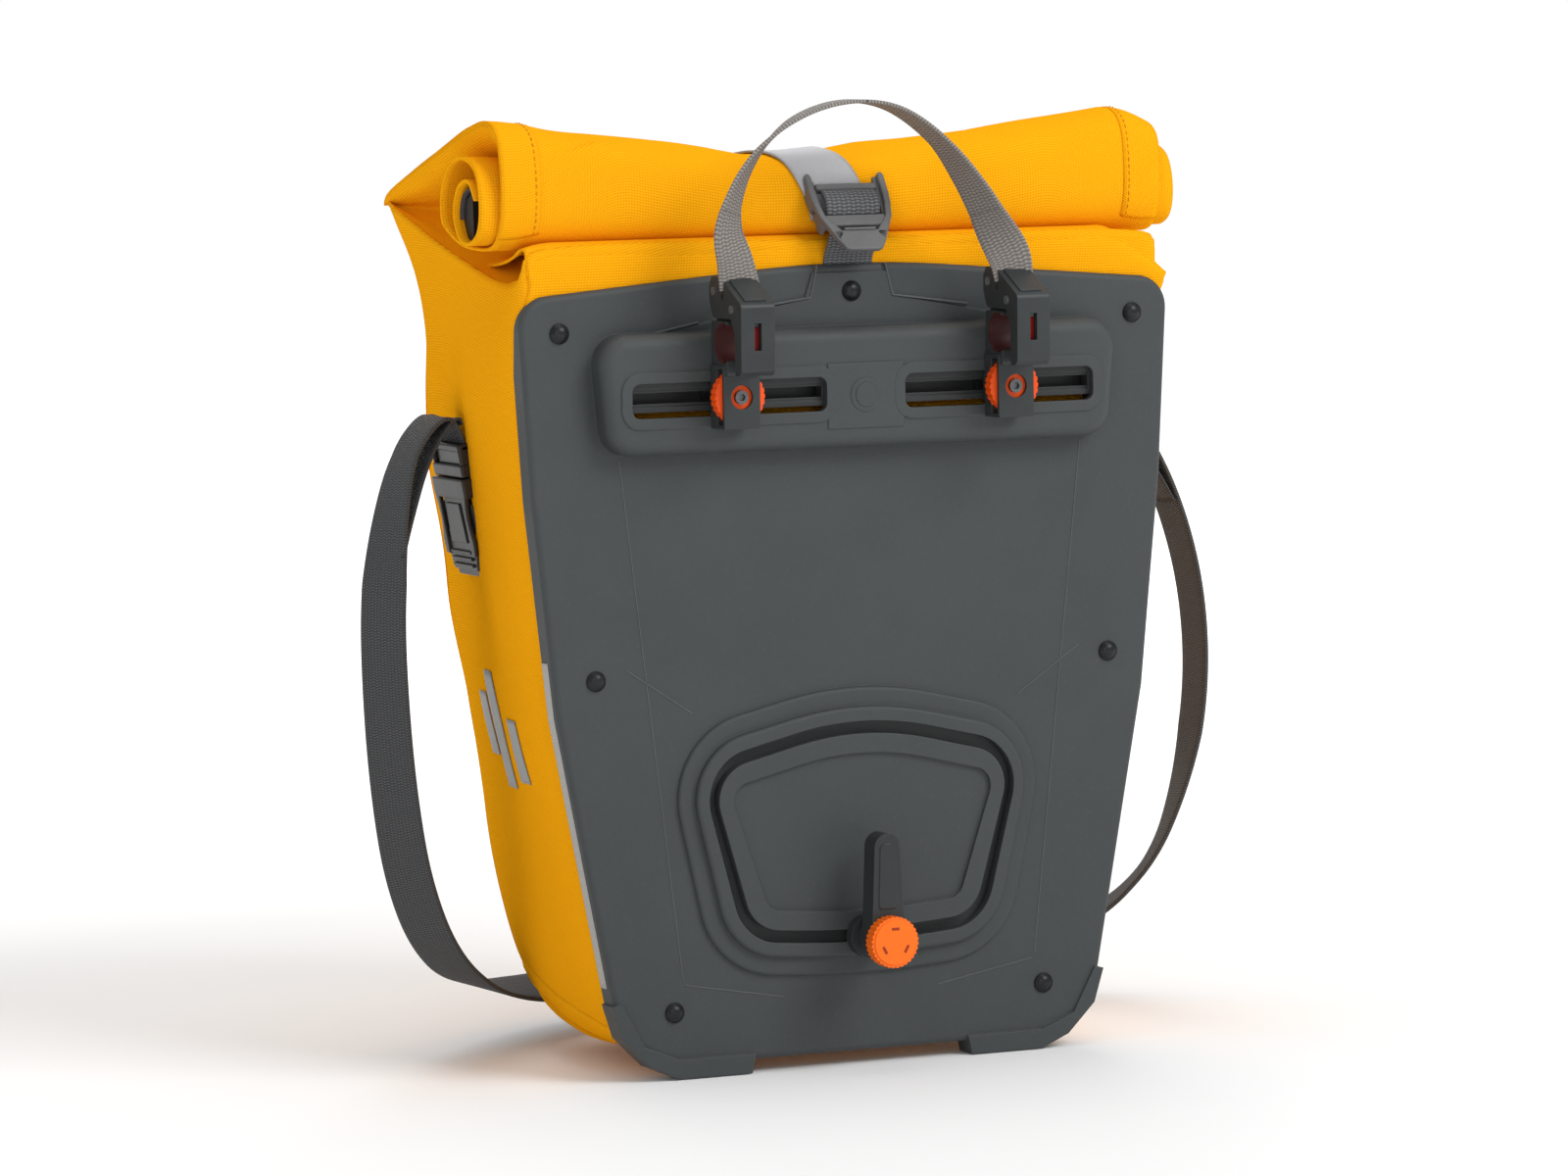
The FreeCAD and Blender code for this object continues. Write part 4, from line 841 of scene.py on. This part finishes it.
def make_seams(body, roll):
    """The welded strips round the base and up the back corners, and the stitched hems of the mouth."""
    heights = body[:, :, 2].mean(axis=1)
    low, high, top = [int(np.argmin(np.abs(heights - height))) for height in (24, 37, 384)]
    strip = lifted(body, slice(low, high + 1), slice(None), 0.9)
    away = outward(strip)
    for edge in (0, -1):
        strip[edge] -= away[edge] * 0.7
    sheet_piece("base_seam", strip, "fabric", thick=0.8, closed=True)
    for name, side in SIDES:
        corner = back_corner_column(body, side)
        strip = lifted(body, slice(high - 1, top), slice(corner - 2, corner + 3), 0.8)
        sheet_piece(f"corner_seam_{name}", strip, "fabric", thick=0.7)
    outer = roll[: len(roll) // 2]
    for name, columns, column in (("left", slice(0, 8), 6), ("right", slice(-8, None), -7)):
        path = outer[:, column]
        path = path[path[:, 1] < 150]
        stitch_row(f"hem_stitches_{name}", path + roll_outward(path) * 2.1, roll_outward(path))
        hem = outer[:, columns]
        sheet_piece(f"roll_hem_{name}", hem + roll_outward(hem) * 1.65, "fabric", thick=0.7, offset=0.0)


def roll_outward(points):
    """Directions away from the roll's own middle line."""
    away = points - np.array([0.0, 44.0, 405.0])
    away[..., 0] = 0.0
    return away / np.linalg.norm(away, axis=-1, keepdims=True)


def back_corner_column(body, side):
    """The grid column that runs up one back corner."""
    row = body[body.shape[0] // 2]
    score = row[:, 1] + 0.95 * side * row[:, 0]
    return int(np.argmax(score))


def bag_tree(body):
    """A surface for finding points on the finished bag."""
    faces = grid_faces(*body.shape[:2], closed=True)
    return BVHTree.FromPolygons([Vector(q) for q in body.reshape(-1, 3)], faces)


def on_side(tree, side, y, z, lift):
    """The point of the bag's side at one depth and height, lifted off the cloth."""
    hit, normal, _, _ = tree.ray_cast(Vector((side * 400.0, y, z)), Vector((-side, 0.0, 0.0)))
    if normal.x * side < 0:
        normal = -normal
    return np.array(hit + normal * lift)


def on_back(tree, x, z, lift):
    """The point of the bag's back at one place and height, lifted off the cloth."""
    hit, _, _, _ = tree.ray_cast(Vector((x, 400.0, z)), Vector((0.0, -1.0, 0.0)))
    return (x, hit.y + lift, z)


# Each bar's front edge at its foot, its foot and its top.
PRINT_BARS = [(45.0, 136.0, 165.0), (66.0, 132.0, 186.0), (87.0, 146.0, 175.0)]


def make_print(tree):
    """Three slanted reflective bars on each side panel."""
    for name, side in SIDES:
        for k, (front, low, high) in enumerate(PRINT_BARS):
            rows = []
            for z in np.linspace(low, high, 14):
                depths = front + (z - low) * 0.32 + np.linspace(0, 13.0, 8)
                rows.append([on_side(tree, side, y, z, 0.35) for y in depths])
            grid = np.array(rows)
            if side > 0:
                grid = grid[:, ::-1]
            sheet_piece(f"side_print_{name}_{k}", grid, "print", thick=0.3)


def make_piping():
    """The pale welt that shows between the plate's edge and the cloth."""
    heights = np.linspace(44, 196, 40)
    halves = np.interp(heights, (6.0, 170.0, 270.0), (120.0, 151.0, 161.5)) - 0.2
    for name, side in SIDES:
        path = [(side * half, 8.3, z) for half, z in zip(halves, heights)]
        ribbon(f"edge_welt_{name}", path, DEPTHWAYS, 6.5, 1.5, "piping")


# ---- lines and marks of the plate

# The fine lines of the plate's right half: name, ends, width and height.
PLATE_LINES = [("plate_line_long", (118.5, 288), (91, 46), 0.9, 0.3),
               ("plate_line_slant", (116.4, 191), (84, 169.5), 0.9, 0.3),
               ("plate_line_low", (90, 43.5), (40, 34.5), 0.9, 0.3),
               ("gable_line_outer", (121, 341.5), (78, 350), 1.5, 1.9),
               ("gable_line_inner", (60, 354.2), (21, 359.6), 1.5, 1.9),
               ("gable_line_rise", (21, 359.6), (17.5, 374.5), 1.3, 1.7)]


def raised_line(name, start, end, width, height):
    """A fine moulded line on the plate's face, coloured lighter than the plate as a painted highlight."""
    a, b = np.array(start, float), np.array(end, float)
    ahead = (b - a) / np.linalg.norm(b - a)
    across = np.array([-ahead[1], ahead[0]]) * width / 2
    ring = [a + across, b + across, b - across, a - across]
    inner = [a + across * 0.4, b + across * 0.4, b - across * 0.4, a - across * 0.4]
    solid(name, [(x, 0.4, z) for x, z in ring], [(x, -height, z) for x, z in inner], "ridge")


def face_block(name, outline, near, far, kind, body="root", bevel=0.0):
    """A block on the plate's face, from an outline of (x, z) points and two depths."""
    solid(name, [(x, near, z) for x, z in outline], [(x, far, z) for x, z in outline], kind, body, bevel)


def make_plate_marks():
    for name, side in SIDES:
        for line, *ends, width, height in PLATE_LINES:
            raised_line(f"{line}_{name}", *mirrored(side, ends), width, height)
    face_block("housing_badge", bar(19.5, 299, 329.5), -14.6, -15.7, "plate", bevel=0.5)
    for k, (radius, reach) in enumerate(((8.0, 16.1), (5.6, 16.5))):
        turns = np.linspace(0, 2 * math.pi, 48, endpoint=False)
        ring = [(radius * math.cos(a), radius * math.sin(a) + 314.5) for a in turns]
        face_block(f"badge_disc_{k}", ring, -15.4, -reach, "plate", bevel=0.25)


# ---- closure strap and webbing

BAND_WIDTH = 28.0
# The strap's middle over the roll: (way along the roll's cloth from the back, sideways place).
BAND_DRIFT = [(0.0, -6.0), (40.0, -9.0), (90.0, -16.0), (130.0, -22.0), (160.0, -21.0), (185.0, -12.0),
              (203.0, -4.0), (220.0, 0.0)]


def make_closure_band(tree, roll):
    """The reflective strap, from the back of the bag over the roll into the buckle."""
    middle = roll[:, roll.shape[1] // 2]
    run = run_along(middle)
    front = np.where((middle[:, 1] < 9.5) & (middle[:, 2] < 414))[0][0]
    normals = outward(roll)
    columns = roll[0, :, 0]
    shares = np.linspace(-0.5, 0.5, 15)
    rows = []
    for z in np.linspace(196, 378, 60):
        drift = -6.0 * ramp(z, 300, 378)
        rows.append([on_back(tree, drift + share * BAND_WIDTH, z, 1.6) for share in shares])
    for place in np.linspace(6.0, run[front] + 14.0, 96):
        turn = (drift_at(place + 14) - drift_at(place - 14)) / 28.0
        side = np.array([1.0, -turn]) / math.hypot(1.0, turn)
        row = []
        for share in shares:
            x = drift_at(place) + side[0] * share * BAND_WIDTH
            way = place + side[1] * share * BAND_WIDTH
            index = np.interp(way, run, np.arange(len(run)))
            column = np.interp(x, columns, np.arange(len(columns)))
            row.append(grid_at(roll, index, column) + grid_at(normals, index, column) * 2.9)
        rows.append(row)
    grid = np.array(rows)
    for _ in range(4):
        grid[1:-1] = (grid[:-2] + 2 * grid[1:-1] + grid[2:]) / 4
    band = sheet_piece("closure_band", grid, "band", thick=1.1, offset=0.0)
    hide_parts("closure_strap")


def drift_at(place):
    return float(np.interp(place, *zip(*BAND_DRIFT)))


def grid_at(grid, row, column):
    """A grid's value between its points."""
    i = int(np.clip(row, 0, grid.shape[0] - 2))
    j = int(np.clip(column, 0, grid.shape[1] - 2))
    a, b = row - i, column - j
    near = grid[i, j] * (1 - b) + grid[i, j + 1] * b
    far = grid[i + 1, j] * (1 - b) + grid[i + 1, j + 1] * b
    return near * (1 - a) + far * a


BUCKLE_TILT = math.radians(34)
BUCKLE_PIVOT = np.array([0.0, -1.5, 400.0])


def on_buckle(x, down, out):
    """A point in the closure buckle's own sloping plane."""
    slope = np.array([0.0, -math.sin(BUCKLE_TILT), -math.cos(BUCKLE_TILT)])
    face = np.array([0.0, -math.cos(BUCKLE_TILT), math.sin(BUCKLE_TILT)])
    return BUCKLE_PIVOT + np.array([x, 0.0, 0.0]) + slope * down + face * out


def buckle_part(name, outline, low, high, bevel, body="root", kind="buckle"):
    """A plate of the closure buckle, cut from an outline of (x, down) points."""
    ends = [[on_buckle(x, down, out) for x, down in outline] for out in (low, high)]
    return solid(name, *ends, kind, body, bevel, "buckle_plastic")


def make_closure_buckle():
    """A ladder buckle: two cheeks with horned tops, two crossbars, and the U-shaped lifting lip."""
    cheek = [(15.2, -16.5), (17.6, -16.5), (17.6, 9), (16.2, 11), (15.2, 11)]
    horn = [(17.0, -16.0), (17.8, -17.8), (19.4, -17.8), (20.2, -16.0), (20.2, -6.0), (19.6, 0.4),
            (16.4, 0.4), (17.0, -6.0)]
    web = [(17.4, -14.0), (18.4, -14.0), (18.0, 0.0), (17.2, 0.0)]
    arm = [(16.4, -0.6), (19.6, -0.6), (18.4, 6.0), (11.6, 20.0), (8.0, 15.0), (15.4, 5.6)]
    lip_half = [(14.4, 13.4), (12.6, 18.0), (9.6, 23.2), (7.4, 24.2)]
    ladder = [buckle_part("buckle_bar_top", bar(15.6, -12.8, -9.4), -2.0, 2.4, 0.9),
              buckle_part("buckle_bar_low", bar(15.6, 4.4, 10.6), -2.0, 2.6, 1.1)]
    lip = [buckle_part("buckle_lip", both_halves(lip_half), 0.6, 3.5, 0.8, "buckle_tab"),
           buckle_part("buckle_lip_ridge", bar(8.0, 12.4, 13.6), 0.4, 4.0, 0.4, "buckle_tab")]
    for name, side in SIDES:
        ladder.append(buckle_part(f"buckle_cheek_{name}", mirrored(side, cheek), -5.0, 1.0, 0.4))
        ladder.append(buckle_part(f"buckle_horn_{name}", mirrored(side, horn), -3.5, 3.6, 0.9))
        buckle_part(f"buckle_web_{name}", mirrored(side, web), -4.5, 2.0, 0.2, kind="dark")
        lip.append(buckle_part(f"buckle_lip_arm_{name}", mirrored(side, arm), 0.6, 3.5, 0.8, "buckle_tab"))
    replace_all(ladder, "closure_buckle")
    replace_all(lip, "closure_tab")


def replace_all(pieces, node):
    for piece in pieces:
        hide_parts(node)


def make_closure_webbing():
    """The webbing from the front panel round the low bar, and the strap's loop over the top bar."""
    sideways = [(0, (1, 0, 0)), (1, (1, 0, 0))]
    route = [(0, 3.9, 352), (0, 3.6, 370), (0, 1.6, 378), (0, -2.4, 384), on_buckle(0, 10.0, -2.6),
             on_buckle(0, 5.0, -3.4)]
    web = ribbon("buckle_webbing", through(route, 60), sideways, 25.0, 1.8, "web")
    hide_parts("closure_webbing")
    loop = [(-11.0, -3.2), (-9.6, 0.4), (-7.2, 2.9), (-3.6, 4.0), (0.2, 3.5), (3.0, 1.4), (4.2, -2.6)]
    bulge = through([on_buckle(0, down, out) for down, out in loop], 60)
    ribbon("buckle_loop", bulge, sideways, 27.5, 1.6, "web")


def make_back_anchor(tree):
    """The strap's sewn end on the back panel: a folded square of webbing with a boxed cross."""
    grid = np.array([[on_back(tree, x, z, 1.0) for x in np.linspace(-21, 21, 12)]
                     for z in np.linspace(176, 214, 14)])
    sheet_piece("back_anchor_patch", grid, "web", thick=1.4, offset=0.0)
    out = np.array([[0.0, 1.0, 0.0]] * 12)
    depth = float(grid[:, :, 1].max()) + 0.8
    corners = [(-17.5, 180), (17.5, 180), (17.5, 210), (-17.5, 210)]
    for k, (start, end) in enumerate(((0, 1), (1, 2), (2, 3), (3, 0), (0, 2), (1, 3))):
        x, z = np.linspace(corners[start], corners[end], 12).T
        path = np.stack([x, np.full(12, depth), z], axis=1)
        stitch_row(f"anchor_stitches_{k}", path, out, kind="dark_thread")


# ---- side buckles

SIDE_TILT = math.radians(10.5)
SIDE_ORIGIN = (152.0, 98.0, 243.0)


def on_side_buckle(side, out, y, up):
    """A point of a side release buckle: outward, along the bag's depth from its middle, and up."""
    x, depth, z = SIDE_ORIGIN
    lean, stand = math.sin(SIDE_TILT), math.cos(SIDE_TILT)
    return np.array([side * (x + out * stand + up * lean), depth + y, z + up * stand - out * lean])


def side_part(name, side, outline, low, high, bevel, body="root", kind="side_buckle"):
    """A plate of a side buckle, cut from an outline of (depth, up) points."""
    ends = [[on_side_buckle(side, out, y, up) for y, up in outline] for out in (low, high)]
    return solid(name, *ends, kind, body, bevel)


TURNS = (("front", -1), ("rear", 1))


def make_side_buckles(tree):
    outline = [(9, 33), (14, 33), (14, 24.5), (16.6, 23), (18.7, 17), (18.5, 12), (16.6, 8.4), (14, 7.4),
               (9, 7.4)]
    for name, side in SIDES:
        make_socket(name, side)
        make_plug(name, side)
        for place, turn in TURNS:
            button = side_part(f"buckle_button_{name}_{place}", side, mirrored(turn, outline), -3.6, 3.6,
                               1.3, f"prong_{name}_{place}", "side_button")
            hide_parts(f"buckle_prong_{name}_{place}")
        make_side_anchor(name, side, tree)


def make_socket(name, side):
    collar = both_halves([(17.5, 25.2), (19, 26.5), (19, 35)])
    core = both_halves([(14.5, -9.5), (16.5, -3), (17.5, 5), (11.5, 7), (11.5, 27)])
    toe = both_halves([(13.5, -12.5), (14.5, -9)])
    panel = both_halves([(9.5, 4), (8.0, 23)])
    rail = [(13.5, 27), (18.6, 27), (17.0, 21), (16.4, 16), (17.0, 11), (18.6, 5), (17.8, -2), (13.5, -2)]
    plan = [("collar", "", collar, -6.0, 6.0, 1.2), ("core", "", core, -4.8, 4.8, 1.0),
            ("toe", "", toe, -2.2, 3.4, 1.0), ("panel", "", panel, 4.6, 5.6, 0.4)]
    for place, turn in TURNS:
        for face, low, high in (("out", 3.9, 6.0), ("in", -6.0, -3.9)):
            plan.append(("rail", f"_{place}_{face}", mirrored(turn, rail), low, high, 0.7))
    for k, low in enumerate((-1.2, -4.4, -7.6)):
        plan.append(("ladder", f"_{k}", bar(12.0, low, low + 1.5), 4.4, 6.0, 0.5))
    replace_all([side_part(f"socket_{part}_{name}{tag}", side, outline, low, high, bevel)
                 for part, tag, outline, low, high, bevel in plan], f"buckle_socket_{name}")


def make_plug(name, side):
    cheek = [(15.0, 41), (17.8, 41), (17.8, 51.2), (15.0, 51.2)]
    plan = [("base", "", bar(17.8, 35.4, 41.5), 4.7, 1.0, "side_buckle"),
            ("bar", "", bar(17.8, 47.2, 51.2), 3.4, 1.4, "side_buckle"),
            ("tongue", "", bar(3, 9, 36), 3.0, 0.4, "side_buckle"),
            ("fold", "", bar(15.0, 41.0, 48.0), 2.6, 0.8, "side_button")]
    for place, turn in TURNS:
        plan.append(("cheek", f"_{place}", mirrored(turn, cheek), 4.3, 1.2, "side_buckle"))
    replace_all([side_part(f"plug_{part}_{name}{tag}", side, outline, -half, half, bevel, kind=kind)
                 for part, tag, outline, half, bevel, kind in plan], f"buckle_plug_{name}")


def make_side_anchor(name, side, tree):
    """A wide webbing loop through the socket's foot, sewn flat to the bag behind it."""
    foot = ((-1.2, -9.4), (-1.8, -12.6), (-4.6, -13.2))
    line = [on_side_buckle(side, out, 0.0, up) for out, up in foot]
    line += [on_side(tree, side, 98.0, z, 1.2) for z in (236.0, 246.0, 256.0, 264.0)]
    web = ribbon(f"anchor_loop_{name}", through(line, 60), DEPTHWAYS, 38.0, 1.7, "strap")
    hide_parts(f"buckle_anchor_{name}")


# ---- small parts of the hooks and the latch

def make_lever_panels():
    """The raised cover on each lever's sloping top."""
    top, low = np.array([29.0, 370.9]), np.array([47.2, 361.0])
    along = (low - top) / np.linalg.norm(low - top)
    lift = np.array([-along[1], along[0]])
    corners = ((-5.6, top), (5.6, top), (5.6, low), (-5.6, low))
    for name, side in SIDES:
        faces = []
        for height in (-0.8, 0.8):
            spots = [(side * 70.0 + x, *(spot + lift * height)) for x, spot in corners]
            faces.append([(x, -reach, z) for x, reach, z in spots])
        solid(f"lever_panel_{name}", *faces, "hook", f"lever_{name}", 0.4)


def make_knob_marks():
    """Three short slots sunk in the knob's cap."""
    for k in range(3):
        angle = math.radians(90 + 120 * k)
        out = np.array([math.cos(angle), math.sin(angle)])
        along = np.array([-out[1], out[0]])
        ring = [(0, 61.4) + out * (6.4 + b) + along * a for a, b in bar(1.9, -0.6, 0.6)]
        face_block(f"knob_mark_{k}", ring, -38.2, -38.85, "knob_mark", "knob")


# ---- carrying handle

HANDLE_Y = -30.0
HANDLE_WIDTH = 20.0
HANDLE_THICK = 1.7
HANDLE_POINTS = 241
# The arch's middle line as (x, z), from the left lever to the right one.
HANDLE_ROUTE = [(-70, 367), (-72, 378), (-75, 392), (-71, 409), (-60, 427), (-40, 443), (-15, 450),
                (8, 447), (31, 432), (48, 411), (61, 389), (68, 376), (70, 367)]
HANDLE_FACING = [(0.0, (-1, 0, 0)), (0.06, (-0.97, -0.25, 0)), (0.16, (-0.75, -0.7, 0)),
                 (0.26, (-0.5, -0.85, 0.1)), (0.36, (-0.2, -1, 0.05)), (0.5, (0, -1, 0)),
                 (0.7, (0.1, -1, 0)), (0.86, (0.5, -0.85, 0)), (0.95, (0.95, -0.3, 0)), (1.0, (1, 0, 0))]
# The first and last point of each piece of the arch. The two halves overlap by one point at the top.
HANDLE_CUTS = {"foot_left": (0, 34), "arch_left": (34, 121), "arch_right": (120, 206),
               "foot_right": (206, 240)}


def handle_part(name):
    """One piece of the carrying handle's arch."""
    low, high = HANDLE_CUTS[name]
    line = through([(x, HANDLE_Y, z) for x, z in HANDLE_ROUTE], HANDLE_POINTS)[low:high + 1]
    share = np.linspace(0, 1, HANDLE_POINTS)[low:high + 1]
    facing = list(zip((share - share[0]) / (share[-1] - share[0]), directions_at(HANDLE_FACING, share)))
    return ribbon(f"handle_{name}", line, facing, HANDLE_WIDTH, HANDLE_THICK, "handle", body=None)


def make_handle():
    """One webbing arch in pieces that meet."""
    for name, side in SIDES:
        foot = handle_part(f"foot_{name}")
        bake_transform(foot)
        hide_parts(f"handle_end_{name}")
        arch = handle_part(f"arch_{name}")
        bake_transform(arch)
        if side < 0:
            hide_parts("carry_handle")


# ---- rivets

RIVETS = [(0, 362.0)] + [(sign * x, z) for x, z in ((147.0, 347.0), (132.0, 187.0), (95.5, 31.0))
                         for sign in (-1, 1)]


def make_rivets():
    """Domed plastic rivets with a shallow flange, turned from (radius, depth) pairs, rim to centre."""
    profile = [(4.7, 0.2), (4.75, -0.5), (4.6, -0.9), (4.2, -1.15), (3.9, -1.5), (3.2, -2.2), (2.2, -2.75),
               (1.1, -3.0), (0.35, -3.05)]
    turns = np.linspace(0, 2 * math.pi, 40, endpoint=False)
    dome = grid_faces(len(profile), len(turns), closed=True)
    dome.append(tuple(range((len(profile) - 1) * len(turns), len(profile) * len(turns))))
    verts, faces = [], []
    for x, z in RIVETS:
        lift = -1.2 if x == 0 else 0.0
        faces += [tuple(len(verts) + k for k in face) for face in dome]
        verts += [at(x + radius * math.cos(a), depth + lift, z + radius * math.sin(a))
                  for radius, depth in profile for a in turns]
    piece = finish_piece(mesh_of("rivet_domes", verts, faces), "rivet_domes", "rivet", "root")
    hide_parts("plate_rivets")


# ---- CAD nodes' finishes

def finish_cad():
    """The finishes of the CAD nodes that the pieces above don't replace."""
    both = {"hook_body": "hook", "jaw_liner": "rubber", "clamp_wheel": "orange", "clamp_screw": "screw",
            "nut_plate": "screw", "hook_lever": "hook", "lever_pin": "steel", "pawl_pin": "steel",
            "handle_pin": "rivet", "lever_insert": "red"}
    plan = {"back_plate": "plate", "hook_rail": "rail", "rivet_washers": "rivet", "latch_carriage": "hook",
            "latch_bolt": "screw", "latch_arm": "hook", "latch_knob": "knob"}
    for name, _ in SIDES:
        plan.update({f"{part}_{name}": kind for part, kind in both.items()})
    for node, kind in plan.items():
        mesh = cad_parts[node].data
        mesh.materials.clear()
        mesh.materials.append(LOOKS[kind])


# ---- build

make_camera()
make_studio()
make_shoulder_strap()
finish_cad()
bag_points = make_bag()
surface = bag_tree(bag_points)
roll_points = make_roll()
make_core_tape()
make_gussets(bag_points, roll_points)
make_shelf()
make_seams(bag_points, roll_points)
make_print(surface)
make_piping()
make_plate_marks()
make_closure_band(surface, roll_points)
make_closure_buckle()
make_closure_webbing()
make_back_anchor(surface)
make_side_buckles(surface)
make_lever_panels()
make_knob_marks()
make_handle()
make_rivets()
